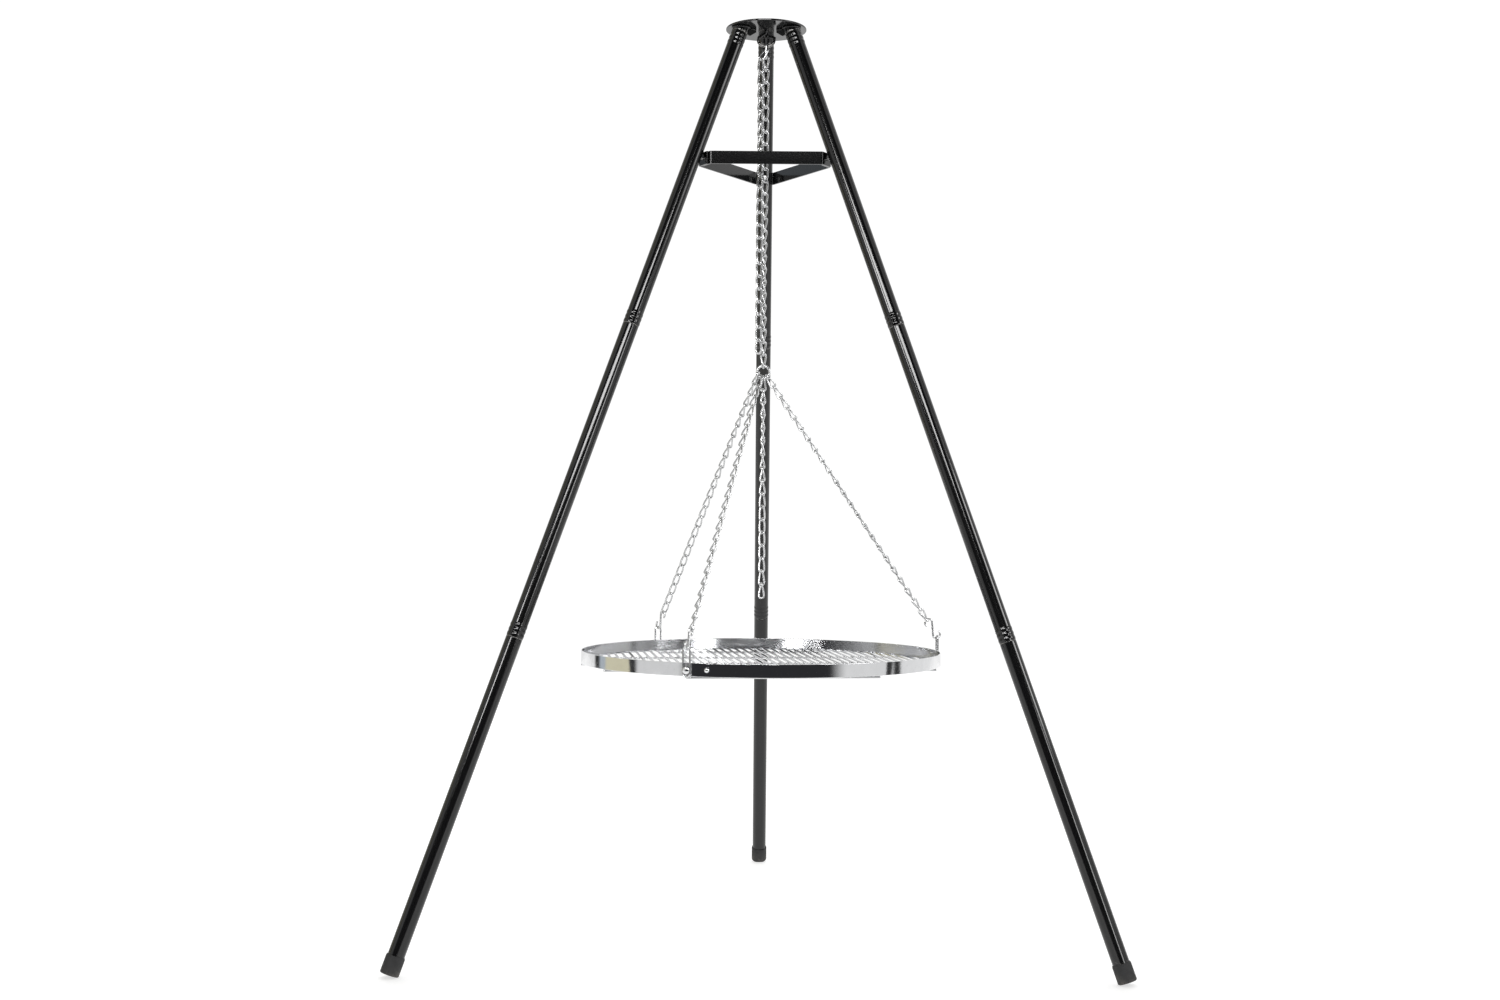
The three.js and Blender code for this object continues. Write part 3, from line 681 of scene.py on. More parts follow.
def add_spigot_section(leg, name, mouth):
    """A section with a spigot on top and the given kind of mouth below."""
    node = f"leg_{leg.number}_{name}"
    top, bottom = leg.span(node)
    shoulder = top + SPIGOT_LENGTH
    profile = spigot(shoulder)[::-1] + plain_wall(shoulder, bottom) + mouth(bottom, -1)[::-1]
    place_shells(leg.turn(profile), node)


def add_foot_cap(leg):
    """A rubber cup with a thinner rim, its sole cut level with the ground."""
    node = f"foot_cap_{leg.number}"
    top = leg.span(node)[0]
    floor = leg.span(f"leg_{leg.number}_lower")[1] + GAP
    end = floor + CAP_FLOOR
    bore = TUBE_RADIUS + GAP
    rim = CAP_RADIUS - CAP_RIM_DEPTH
    profile = [
        (AXIS_FLAT, floor, 0),
        (bore, floor, 0),
        *rolled_lip(bore, rim, top, 1),
        (rim, top + CAP_RIM_LENGTH, 0),
        (CAP_RADIUS, top + CAP_RIM_LENGTH + CAP_RIM_SLOPE, 0),
        (CAP_RADIUS, (top + end) / 2, 0),
        *fillet(CAP_RADIUS, end, CAP_EDGE, 1),
        (AXIS_FLAT, end, 0),
    ]
    cap = visual(leg.turn(profile, closed=False), node)
    cut_level(cap, leg.point(end).to_2d().to_3d(), 4 * CAP_RADIUS, -1)
    place(cap, node)


for leg in LEGS:
    add_upper_section(leg)
    add_spigot_section(leg, "middle", beaded_mouth)
    add_spigot_section(leg, "lower", plain_mouth)
    add_foot_cap(leg)

# ---- Head ----------------------------------------------------------------------------------------

PLATE_RADIUS = (PLATE_HIGH.x - PLATE_LOW.x) / 2
PLATE_EDGE = 1 * MM
PLATE_SIDES = 128
HOOK_HOLE_RADIUS = 2.9 * MM
UNDERSIDE = PLATE_LOW.z
STUB_SPARE = 4 * TUBE_RADIUS  # what stands above the shoulder before the stub is cut level
WELD_RADIUS = 1.7 * MM
WELD_SINK = 0.8  # share of the weld's radius that lies below the plate
WELD_RIPPLE = 0.12
WELD_RIPPLE_TURN = 2.1  # radians a step
WELD_JITTER = 0.05
WELD_SIDES = 12
SOCKET_WELD_STEPS = 90
WEB_WELD_STEPS = 14
WEB_THICKNESS = 3 * MM
WEB_EDGE = 0.5 * MM
WEB_INNER_RISE = 7 * MM
WEB_OUTER_RISE = 2 * MM
WEB_TOE = 6 * MM
HOOK_WIRE = 4.5 * MM
HOOK_HALF_WIDTH = 12.7 * MM
HOOK_BOWL_DEPTH = 9.4 * MM
HOOK_BOWL_ANGLES = range(131, 361, 22)
HOOK_NECK = (-1.6 * MM, 21.2 * MM)
HOOK_TIP = (0.8 * MM, 15 * MM)
HOOK_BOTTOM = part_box("chain_hook")[0].z + HOOK_WIRE / 2
HOOK_SIDES = 24
HOOK_STEPS = 8
BOWL_WEAR = 0.9
SHANK_TIP_LENGTH = 0.7 * MM
SHANK_TIP_NARROWING = 0.14  # share of the radius lost at the very top
THREAD_PITCH = 0.8 * MM
THREAD_DEPTH = 0.22 * MM
THREAD_STEPS = 8
NUT_SIDES = 6
NUT_CHAMFER = 0.9 * MM
DRUM_SIDES = 64


def add_head_plate():
    profile = [
        (HOOK_HOLE_RADIUS, PLATE_LOW.z, 0),
        *fillet(PLATE_RADIUS, PLATE_LOW.z, PLATE_EDGE, -1)[::-1],
        *fillet(PLATE_RADIUS, PLATE_HIGH.z, PLATE_EDGE, 1),
        (HOOK_HOLE_RADIUS, PLATE_HIGH.z, 0),
    ]
    place_shells(lathe(profile, at(0, 0, 0), UP, PLATE_SIDES, closed=True), "head_plate")


def weld_bead(shells, path, closed, seed):
    """A rippled line of weld."""
    rng = random.Random(seed)
    radii = []
    for index in range(len(path)):
        ripple = WELD_RIPPLE * math.sin(WELD_RIPPLE_TURN * index)
        radii.append(WELD_RADIUS * (1 + ripple + rng.uniform(-WELD_JITTER, WELD_JITTER)))
    wire(shells, path, radii, WELD_SIDES, closed)


def add_socket(leg):
    """A tube stub, cut level under the plate, with the weld that goes round its top."""
    node = f"leg_socket_{leg.number}"
    shoulder = leg.span(f"leg_{leg.number}_upper")[0] - GAP
    profile = [
        (TUBE_RADIUS, shoulder - STUB_SPARE, 0),
        (TUBE_BORE, shoulder - STUB_SPARE, 0),
        (TUBE_BORE, shoulder - SPIGOT_TAPER, 0),
        (SPIGOT_BORE, shoulder, 0),
        *rolled_lip(SPIGOT_BORE, SPIGOT_RADIUS, shoulder + SPIGOT_LENGTH, -1),
        (SPIGOT_RADIUS, shoulder, SPIGOT_WEAR),
        (TUBE_RADIUS, shoulder, LIP_WEAR),
    ]
    stub = visual(leg.turn(profile), node)
    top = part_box(node)[1].z
    cut_level(stub, leg.point_at_height(top), 2 * STUB_SPARE, 1)
    join_shells(stub, socket_weld(leg, top))
    place(stub, node)


def socket_weld(leg, top):
    """The weld round the stub, on the ellipse where the stub's outside meets the plate."""
    centre = leg.point_at_height(top - WELD_SINK * WELD_RADIUS)
    along = outward(leg.azimuth) * TUBE_RADIUS / abs(leg.down.z)
    across = UP.cross(outward(leg.azimuth)) * TUBE_RADIUS
    shells = Shells()
    weld_bead(shells, ring_points(centre, along, across, 1, SOCKET_WELD_STEPS), True, leg.number)
    return shells


def add_web(leg):
    """The small web plate in the corner between the plate and the stub."""
    node = f"socket_web_{leg.number}"
    low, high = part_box(node)
    inner, outer = reach(node, at(0, 0, 0), outward(leg.azimuth))

    def beside_stub(z):
        """How far out the stub's inner side lies at a height."""
        distance = (leg.point_at_height(z) - at(0, 0, z)).length
        return distance - TUBE_RADIUS / abs(leg.down.z) - 2 * GAP

    corners = [
        (inner, low.z + WEB_INNER_RISE),
        (beside_stub(low.z) - WEB_TOE, low.z),
        (outer, low.z + WEB_OUTER_RISE),
        (beside_stub(high.z), high.z),
        (inner, high.z),
    ]
    outline = [polar(leg.azimuth, radius, z) for radius, z in corners]
    web = slab(node, outline, WEB_THICKNESS, UP.cross(outward(leg.azimuth)))
    bevel(web, WEB_EDGE)
    join_shells(web, web_welds(leg, (outline[4], outline[3])))
    place(web, node)


def web_welds(leg, top_edge):
    """The welds along both sides of the web's top edge."""
    start, end = (point - WELD_RADIUS / 2 * UP for point in top_edge)
    shells = Shells()
    for side in (-1, 1):
        offset = side * WEB_THICKNESS / 2 * UP.cross(outward(leg.azimuth))
        steps = range(1, WEB_WELD_STEPS - 1)
        path = [start.lerp(end, step / WEB_WELD_STEPS) + offset for step in steps]
        weld_bead(shells, path, False, leg.number + 3 * side)
    return shells


def hook_path():
    """The hook's centre line below the plate, down to its tip."""
    bowl = []
    for degrees in HOOK_BOWL_ANGLES:
        angle = math.radians(degrees)
        z = HOOK_BOTTOM + HOOK_BOWL_DEPTH * (1 + math.sin(angle))
        bowl.append(at(HOOK_HALF_WIDTH * math.cos(angle), 0, z))
    points = [
        at(0, 0, UNDERSIDE),
        at(HOOK_NECK[0], 0, HOOK_BOTTOM + HOOK_NECK[1]),
        *bowl,
        at(HOOK_HALF_WIDTH + HOOK_TIP[0], 0, HOOK_BOTTOM + HOOK_TIP[1]),
    ]
    return smooth_path(points, HOOK_STEPS)


def add_hook():
    """The hook, worn where the chain sits in its bowl."""
    shells = Shells()
    path = hook_path()
    middle = HOOK_BOTTOM + HOOK_BOWL_DEPTH / 2
    wear = [BOWL_WEAR if point.z < middle else 0.0 for point in path[:-1]]
    ends = rounded_end(path[-1], (path[-1] - path[-2]).normalized(), HOOK_WIRE / 2)
    points = path[:-1] + [point for point, _ in ends]
    radii = [HOOK_WIRE / 2] * (len(path) - 1) + [radius for _, radius in ends]
    wire(shells, points, radii, HOOK_SIDES, wear=wear + [0.0] * len(ends))
    add_shank(shells)
    place_shells(shells, "chain_hook")


def add_shank(shells):
    """The threaded shank: rings whose radius rises and falls with the thread's helix."""
    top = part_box("chain_hook")[1].z
    bottom = UNDERSIDE - 1 * MM
    count = round((top - bottom) / THREAD_PITCH * THREAD_STEPS)
    rings = []
    for step in range(count + 1):
        height = bottom + (top - bottom) * step / count
        narrowing = SHANK_TIP_NARROWING * max(0, 1 - (top - height) / SHANK_TIP_LENGTH)
        ring = []
        for side in range(HOOK_SIDES):
            angle = math.tau * side / HOOK_SIDES
            groove = THREAD_DEPTH * (1 + math.cos(math.tau * height / THREAD_PITCH - angle)) / 2
            radius = (HOOK_WIRE / 2 - groove) * (1 - narrowing)
            ring.append(at(radius * math.cos(angle), radius * math.sin(angle), height))
        rings.append(ring)
    shells.add_rings(rings, closed=False)


def add_hook_nut():
    """A hexagon nut: a prism trimmed by a chamfered drum, then bored."""
    low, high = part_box("hook_nut")
    corner = (high.x - low.x) / 2
    prism = [(corner, low.z, 0), (corner, high.z, 0)]
    nut = visual(lathe(prism, at(0, 0, 0), UP, NUT_SIDES), "hook_nut")
    profile = [
        (corner - NUT_CHAMFER, low.z, 0),
        (corner, low.z + NUT_CHAMFER / 2, 0),
        (corner, high.z - NUT_CHAMFER / 2, 0),
        (corner - NUT_CHAMFER, high.z, 0),
    ]
    drum = lathe(profile, at(0, 0, 0), UP, DRUM_SIDES)
    combine_with(nut, drum.build("drum", "plain_steel"), "INTERSECT")
    drill(nut, at(0, 0, low.z - MM), at(0, 0, high.z + MM), HOOK_WIRE / 2 + GAP)
    place(nut, "hook_nut")


add_head_plate()
for leg in LEGS:
    add_socket(leg)
    add_web(leg)
add_hook()
add_hook_nut()

# ---- Spreader ------------------------------------------------------------------------------------

BAR_THICKNESS = 3 * MM
BAR_BEND = 2.5 * MM
BAR_BEND_STEPS = 10
BAR_EDGE = 0.45 * MM
TAB_LENGTH = 26 * MM
TAB_OUTER = 110.5 * MM
TAB_INNER = TAB_OUTER - BAR_THICKNESS - GAP
SCREW_HEAD_RADIUS = 5 * MM
SCREW_HEAD_HEIGHT = 2.6 * MM
SCREW_HEAD_FLAT = 0.15  # share of the head's radius
SCREW_HEAD_CROWN = 0.85  # share of the head's height that is rounded
SCREW_HEAD_SHAPE = 1.2
SCREW_HEAD_STEPS = 10
RECESS_LENGTH = 4.6 * MM
RECESS_WIDTH = 0.9 * MM
RECESS_DEPTH = 1.5 * MM
HEAD_SIDES = 48


def bend(before, corner, after):
    """A small round bend between two straight runs."""
    first = corner + BAR_BEND * (before - corner).normalized()
    last = corner + BAR_BEND * (after - corner).normalized()
    points = []
    for step in range(BAR_BEND_STEPS + 1):
        t = step / BAR_BEND_STEPS
        points.append(first.lerp(corner, t).lerp(corner.lerp(last, t), t))
    return points


def tab(azimuth, distance):
    """The front bar's tab at one leg: (its corner with the straight run, its end)."""
    normal = outward(azimuth)
    run = AXIS_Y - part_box("spreader_bar_1")[0].y - BAR_THICKNESS / 2
    corner = Vector(((distance + run * normal.y) / normal.x, -run, 0))
    along = (distance * normal - corner).normalized()
    return corner, corner + TAB_LENGTH * along


def strip_outline(line, thickness):
    """The outline of a strip of even thickness along a level line of points."""
    offsets = [UP.cross(tangent) * thickness / 2 for tangent in tangents(line, False)]
    left = [point + offset for point, offset in zip(line, offsets)]
    right = [point - offset for point, offset in zip(line, offsets)]
    return left + right[::-1]


def add_bar(number, leg):
    """The front bar's shape, turned a third of the way round for each next bar."""
    node = f"spreader_bar_{number}"
    left_corner, left_end = tab(LEGS[1].azimuth, TAB_INNER)
    right_corner, right_end = tab(LEGS[2].azimuth, TAB_OUTER)
    line = [left_end, *bend(left_end, left_corner, right_corner)]
    line += [*bend(left_corner, right_corner, right_end), right_end]
    turn = Matrix.Rotation(math.radians(leg.azimuth - LEGS[0].azimuth), 4, "Z")
    low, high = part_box(node)
    middle = at(0, 0, (low.z + high.z) / 2)
    outline = [middle + turn @ point for point in strip_outline(line, BAR_THICKNESS)]
    bar = slab(node, outline, high.z - low.z, UP)
    bevel(bar, BAR_EDGE)
    for tab_leg in (LEGS[number % 3], LEGS[(number + 1) % 3]):
        centre = polar(tab_leg.azimuth, TAB_OUTER, SCREW_HEIGHT)
        through = 3 * BAR_THICKNESS * outward(tab_leg.azimuth)
        drill(bar, centre - through, centre + through, SCREW_RADIUS + GAP)
    place(bar, node)


def screw_profile(head_top, tip):
    """A pan head and its shank, from the head's top to the screw's tip."""
    face = head_top + SCREW_HEAD_HEIGHT
    profile = [(SCREW_HEAD_FLAT * SCREW_HEAD_RADIUS, head_top, 0)]
    for angle in arc(0, 90, SCREW_HEAD_STEPS)[1:]:
        radius = SCREW_HEAD_RADIUS * (1 + math.sin(angle)) / 2
        fall = SCREW_HEAD_CROWN * SCREW_HEAD_HEIGHT * (1 - math.cos(angle)) ** SCREW_HEAD_SHAPE
        profile.append((radius, head_top + fall, 0))
    profile += [(SCREW_HEAD_RADIUS, face, 0), (SCREW_RADIUS, face, 0)]
    return profile + [(SCREW_RADIUS, tip - SCREW_RADIUS, 0), (AXIS_FLAT, tip, 0)]


def add_screw(leg):
    """A pan-head screw with a cross recess, driven outward through both tabs."""
    node = f"spreader_screw_{leg.number}"
    axis = outward(leg.azimuth)
    middle = at(0, 0, SCREW_HEIGHT)
    head_top, tip = reach(node, middle, axis)
    screw = visual(lathe(screw_profile(head_top, tip), middle, axis, HEAD_SIDES), node)
    across = UP.cross(axis)
    sizes = (RECESS_LENGTH, RECESS_WIDTH, 2 * RECESS_DEPTH)
    for axes in ((UP, across, axis), (across, UP, axis)):
        combine_with(screw, block(middle + head_top * axis, axes, sizes), "DIFFERENCE")
    place(screw, node)


for number, leg in enumerate(LEGS, start=1):
    add_bar(number, leg)
    add_screw(leg)

# ---- Chains --------------------------------------------------------------------------------------

CHAIN_WIRE = 3 * MM
CHAIN_PITCH = 20 * MM
LINK_LENGTH = CHAIN_PITCH + CHAIN_WIRE
LINK_HALF_WIDTH = 4.15 * MM  # to the middle of the wire
LINK_ARC_STEPS = 12
LINK_SIDE_STEPS = 7
LINK_SIDES = 12
LINK_TWIST = math.radians(45)  # each end of a link, either way from its middle
SEAM_SWELL = 0.09  # of the wire's radius, at the weld in one side of a link
SEAM_LENGTH = 0.02  # of the link's whole turn
ROLL_JITTER = math.radians(3)
TOP_LINK_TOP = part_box("top_link")[1].z - CHAIN_WIRE / 2
TOP_LINK_BOTTOM = TOP_LINK_TOP - LINK_LENGTH
SIDE_LINK_START = (2.2 * MM, -2.1 * MM, -7.9 * MM)  # from the top link's upper end
RING_LOW, RING_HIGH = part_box("joining_ring")
RING_CENTRE = (RING_LOW + RING_HIGH) / 2
RING_WIRE = 3.8 * MM
RING_RADIUS = (RING_HIGH.z - RING_LOW.z - RING_WIRE) / 2
RING_SEAT = (RING_WIRE + CHAIN_WIRE) / 2
RING_STEPS = 72
RING_SIDES = 24
LOAD_WANDER = math.radians(32)
TAIL_WANDER = math.radians(40)
HANGER_WANDER = math.radians(6)


def link_outline(half_length):
    """A link's centre line, flat: (width, length) points, out along one side and back."""
    straight = half_length - LINK_HALF_WIDTH
    outline = []
    for end in (1, -1):
        for step in range(LINK_SIDE_STEPS):
            along = -straight + 2 * straight * (step + 0.5) / LINK_SIDE_STEPS
            outline.append((end * LINK_HALF_WIDTH, end * along))
        for angle in arc(0, 180, LINK_ARC_STEPS)[1:-1]:
            width = LINK_HALF_WIDTH * math.cos(angle)
            outline.append((end * width, end * (straight + LINK_HALF_WIDTH * math.sin(angle))))
    return outline


def add_link(shells, start, end, width_axis, twist):
    """A link whose centre line runs from start to end; width_axis is the link's in its middle."""
    half_length = (end - start).length / 2
    down = (end - start).normalized()
    centre = (start + end) / 2
    outline = link_outline(half_length)
    path, radii = [], []
    for index, (width, along) in enumerate(outline):
        side = Quaternion(down, -twist * along / half_length) @ width_axis
        path.append(centre + width * side + along * down)
        from_seam = (index - LINK_SIDE_STEPS / 2) / len(outline) / SEAM_LENGTH
        radii.append(CHAIN_WIRE / 2 * (1 + SEAM_SWELL * math.exp(-(from_seam**2))))
    wire(shells, path, radii, LINK_SIDES, closed=True)


def rolled_to(axis, reference, down):
    """The angle about `down` from the reference direction to an axis."""
    flat = (axis - axis.dot(down) * down).normalized()
    return math.atan2(down.dot(reference.cross(flat)), flat.dot(reference))


def add_strand(node, start, end, first_axis, last_axis, wander, seed):
    """Twisted links from start to end, the middle of the wire at each of the strand's two ends.

    first_axis is the width direction of the first link's upper end, and last_axis that of the last
    link's lower end, or None for a free end. wander is how far the links roll in between.
    """
    rng = random.Random(seed)
    down = (end - start).normalized()
    reference = perpendiculars(down)[0]
    length = (end - start).length
    count = round((length - CHAIN_WIRE) / CHAIN_PITCH)
    pitch = (length - CHAIN_WIRE) / count
    first_roll = rolled_to(first_axis, reference, down) - LINK_TWIST
    last_roll = first_roll
    if last_axis is not None:
        last_roll = rolled_to(last_axis, reference, down) + LINK_TWIST
        last_roll -= math.pi * round((last_roll - first_roll) / math.pi)
    shells = Shells()
    for index in range(count):
        t = index / (count - 1)
        roll = first_roll + t * (last_roll - first_roll) + wander * math.sin(math.tau * t)
        roll += rng.uniform(-ROLL_JITTER, ROLL_JITTER)
        link_start = start + index * pitch * down
        width_axis = Quaternion(down, roll) @ reference
        add_link(shells, link_start, link_start + (pitch + CHAIN_WIRE) * down, width_axis, LINK_TWIST)
    place_shells(shells, node)


def add_top_links():
    """The link on the hook, and its neighbour that leads aside to the spare tail.

    Returns where the neighbour ends and the width direction of its lower end.
    """
    shells = Shells()
    add_link(shells, at(0, 0, TOP_LINK_TOP), at(0, 0, TOP_LINK_BOTTOM), BACK, 0)
    start = at(0, 0, TOP_LINK_TOP) + Vector(SIDE_LINK_START)
    spare = centre_of("spare_chain_upper")
    fall = math.sqrt(CHAIN_PITCH**2 - (spare.xy - start.xy).length_squared)
    seat = Vector((spare.x, spare.y, start.z - fall))
    down = (seat - start).normalized()
    upper_axis = UP.cross(down).normalized()
    middle_axis = Quaternion(down, -LINK_TWIST) @ upper_axis
    add_link(shells, start, start + LINK_LENGTH * down, middle_axis, LINK_TWIST)
    place_shells(shells, "top_link")
    return seat, upper_axis


def add_ring():
    shells = Shells()
    path = ring_points(RING_CENTRE, RIGHT, UP, RING_RADIUS, RING_STEPS)
    wire(shells, path, RING_WIRE / 2, RING_SIDES, closed=True)
    place_shells(shells, "joining_ring")


def below(start, low):
    """The free end of a tail that hangs straight down from its start to the node's low corner."""
    return Vector((start.x, start.y, low.z + CHAIN_WIRE / 2))


def add_upright_strands():
    spare_start, spare_axis = add_top_links()
    spare_end = below(spare_start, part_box("spare_chain_upper")[0])
    add_strand("spare_chain_upper", spare_start, spare_end, spare_axis, None, TAIL_WANDER, 11)
    load_start = at(0, 0, TOP_LINK_BOTTOM + CHAIN_WIRE)
    seat = (RING_RADIUS - RING_SEAT) * UP
    add_strand("load_chain", load_start, RING_CENTRE + seat, RIGHT, BACK, LOAD_WANDER, 12)
    tail_start = RING_CENTRE - seat
    tail_end = below(tail_start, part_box("spare_chain_lower")[0])
    add_strand("spare_chain_lower", tail_start, tail_end, BACK, None, TAIL_WANDER, 13)


add_ring()
add_upright_strands()

# ---- Hangers -------------------------------------------------------------------------------------

EYE_WIRE = 3 * MM
S_HOOK_WIRE = 3.5 * MM
S_HOOK_BEND = 6.2 * MM
S_HOOK_LENGTH = 38 * MM
S_HOOK_RETURN = 25  # degrees
S_HOOK_SIDES = 20
S_BEND_STEPS = 20
S_SHANK_STEPS = 6
RING_ANGLES = (-50, -155, -122)  # degrees round the ring, where each hanger's first link sits


class Hanger:
    """One hanger: its eye, its line of pull and its seat on the ring."""

    def __init__(self, number):
        middle = centre_of(f"grill_eye_{number}")
        eye_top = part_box(f"grill_eye_{number}")[1].z
        self.number = number
        self.azimuth = azimuth_of(middle - at(0, 0, middle.z))
        self.eye_top = Vector((middle.x, middle.y, eye_top - EYE_WIRE / 2))
        angle = math.radians(RING_ANGLES[number - 1])
        self.ring_wire = RING_CENTRE + RING_RADIUS * (math.cos(angle) * RIGHT + math.sin(angle) * UP)
        self.ring_tangent = math.cos(angle) * UP - math.sin(angle) * RIGHT
        self.down = (self.eye_top - self.ring_wire).normalized()

    def bearing(self):
        """Where the S-hook's inside bears on the eye."""
        return self.eye_top + (EYE_WIRE / 2 + GAP) * self.down

    def start(self):
        """The middle of the first link's upper wire, hooked round the ring."""
        lean = math.sqrt(1 - self.ring_tangent.dot(self.down) ** 2)
        return self.ring_wire - RING_SEAT / lean * self.down

    def end(self):
        """The middle of the last link's lower wire, under the S-hook's upper bend."""
        rise = S_HOOK_LENGTH - 1.5 * S_HOOK_WIRE - (S_HOOK_WIRE + CHAIN_WIRE) / 2
        return self.bearing() - rise * self.down


def s_hook_outline():
    """The S in (outward, up) points, its lower inside at the origin."""
    low = S_HOOK_BEND - S_HOOK_WIRE / 2
    high = S_HOOK_LENGTH - 1.5 * S_HOOK_WIRE - S_HOOK_BEND
    outline = []
    for centre, first, last in ((low, S_HOOK_RETURN, -180), (high, 0, 180 + S_HOOK_RETURN)):
        for angle in arc(first, last, S_BEND_STEPS):
            outline.append((S_HOOK_BEND * math.cos(angle), centre + S_HOOK_BEND * math.sin(angle)))
    return outline


def s_hook_path(hanger):
    """The S-hook's centre line, with a few more points along its straight shank."""
    up = -hanger.down
    out = UP.cross(outward(hanger.azimuth)).cross(up).normalized()
    points = [hanger.bearing() + x * out + z * up for x, z in s_hook_outline()]
    half = S_BEND_STEPS + 1
    foot, head = points[half - 1], points[half]
    shank = [foot.lerp(head, step / S_SHANK_STEPS) for step in range(1, S_SHANK_STEPS)]
    return points[:half] + shank + points[half:]


def add_hanger(number):
    hanger = Hanger(number)
    first_axis = hanger.ring_tangent.cross(hanger.down)
    last_axis = UP.cross(outward(hanger.azimuth))
    node = f"hanger_chain_{number}"
    add_strand(node, hanger.start(), hanger.end(), first_axis, last_axis, HANGER_WANDER, number)
    shells = Shells()
    blunt_wire(shells, s_hook_path(hanger), S_HOOK_WIRE / 2, S_HOOK_SIDES)
    place_shells(shells, f"s_hook_{number}")
    return hanger


HANGERS = [add_hanger(number) for number in (1, 2, 3)]

# ---- Grill ---------------------------------------------------------------------------------------

RIM_LOW, RIM_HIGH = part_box("grill_rim")
GRILL_RADIUS = (HANGERS[0].eye_top - at(0, 0, HANGERS[0].eye_top.z)).length - GAP - EYE_WIRE / 2
BAND_THICKNESS = 1.8 * MM
BAND_EDGE = 0.45 * MM
BAND_EDGE_STEPS = 4
BAND_STEPS = 360
BAND_WAVE = 0.12 * MM  # how far the hand-rolled band strays from a true circle
BAND_WAVE_COUNT = 5
SEAM_START = 251.5  # degrees, the band's free outer end
LAP_ANGLE = 6
JOGGLE_ANGLE = 2.5
INNER_END_SETBACK = 0.5
SEAM_RIVET_ANGLE = 254.3
RIVET_HOLE_RADIUS = 2.3 * MM
RIVET_HOLE_REACH = 4 * BAND_THICKNESS
RIVET_SHANK = 2 * MM
RIVET_DOME = 2.2 * MM
RIVET_DOME_RIM = 0.2 * MM
RIVET_DOME_STEPS = 12
RIVET_UNDERCUT = 0.15 * MM
CLOSING_RADIUS = 3.2 * MM
CLOSING_HEIGHT = 1.2 * MM
CLOSING_EDGE = 0.4 * MM
EYE_WIDTH = 14 * MM
EYE_ARC_STEPS = 24
EYE_SIDE_STEPS = 8
EYE_SIDES = 20
ROD_RADIUS = 2 * MM
ROD_SIDES = 16
ROD_PITCH = 12.6 * MM
ROD_COUNT = 44
ROD_STATIONS = (-1, -0.98, 0, 0.98, 1)  # shares of the rod's half length
CROSS_ROD_OFFSETS = (-0.857, -0.43, 0, 0.43, 0.857)  # shares of the grill's radius
SPOT_SIZE = (2.7 * MM, 2.7 * MM, 1.3 * MM)
SPOT_RINGS = 6
SPOT_SIDES = 10


def band_radius(angle):
    """The band's middle radius at an angle past its free outer end, which lies over the other."""
    past = min(max((angle - LAP_ANGLE) / JOGGLE_ANGLE, 0), 1)
    wave = BAND_WAVE * (math.sin(math.radians(BAND_WAVE_COUNT * angle)) - 1) / 2
    lift = (BAND_THICKNESS + GAP) * (1 - smooth_step(past))
    return GRILL_RADIUS - BAND_THICKNESS / 2 + lift + wave


def band_line():
    sweep = 360 + LAP_ANGLE - INNER_END_SETBACK
    middle = (RIM_LOW.z + RIM_HIGH.z) / 2
    angles = [sweep * step / BAND_STEPS for step in range(BAND_STEPS + 1)]
    return [polar(SEAM_START + angle, band_radius(angle), middle) for angle in angles]


def band_section(height):
    """(across, up) points round the band's rectangular section with its rounded edges."""
    half_width, half_height = BAND_THICKNESS / 2 - BAND_EDGE, height / 2 - BAND_EDGE
    points = []
    for corner, (x, z) in enumerate(SQUARE):
        for angle in arc(90 * corner, 90 * (corner + 1), BAND_EDGE_STEPS):
            across = x * half_width + BAND_EDGE * math.cos(angle)
            points.append((across, z * half_height + BAND_EDGE * math.sin(angle)))
    return points


def add_band():
    """The lapped band, drilled for its rivets."""
    line = band_line()
    section = band_section(RIM_HIGH.z - RIM_LOW.z)
    rings = []
    for point, tangent in zip(line, tangents(line, False)):
        rings.append([point + x * tangent.cross(UP) + z * UP for x, z in section])
    shells = Shells()
    shells.add_rings(rings, closed=False)
    band = visual(shells, "grill_rim")
    holes = [(hanger.azimuth, f"eye_rivet_{hanger.number}") for hanger in HANGERS]
    for azimuth, node in [*holes, (SEAM_RIVET_ANGLE, "seam_rivet")]:
        centre = polar(azimuth, GRILL_RADIUS, centre_of(node).z)
        through = RIVET_HOLE_REACH * outward(azimuth)
        drill(band, centre - through, centre + through, RIVET_HOLE_RADIUS)
    place(band, "grill_rim")


def add_rivet(node, azimuth):
    """A rivet with a domed head outside the band and a small flat head inside."""
    low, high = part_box(node)
    middle = at(0, 0, (low.z + high.z) / 2)
    head_radius = (high.z - low.z) / 2
    inside, outside = reach(node, middle, outward(azimuth))
    head_face = outside - RIVET_DOME
    profile = [
        (AXIS_FLAT, inside, 0),
        *fillet(CLOSING_RADIUS, inside, CLOSING_EDGE, -1)[::-1],
        (CLOSING_RADIUS, inside + CLOSING_HEIGHT, 0),
        (RIVET_SHANK, inside + CLOSING_HEIGHT, 0),
        (RIVET_SHANK, head_face, 0),
        (head_radius - RIVET_UNDERCUT, head_face, 0),
    ]
    for angle in arc(0, 90, RIVET_DOME_STEPS)[:-1]:
        rise = RIVET_DOME_RIM + (RIVET_DOME - RIVET_DOME_RIM) * math.sin(angle)
        profile.append((head_radius * math.cos(angle), head_face + rise, 0))
    place_shells(lathe(profile, middle, outward(azimuth), HEAD_SIDES), node)


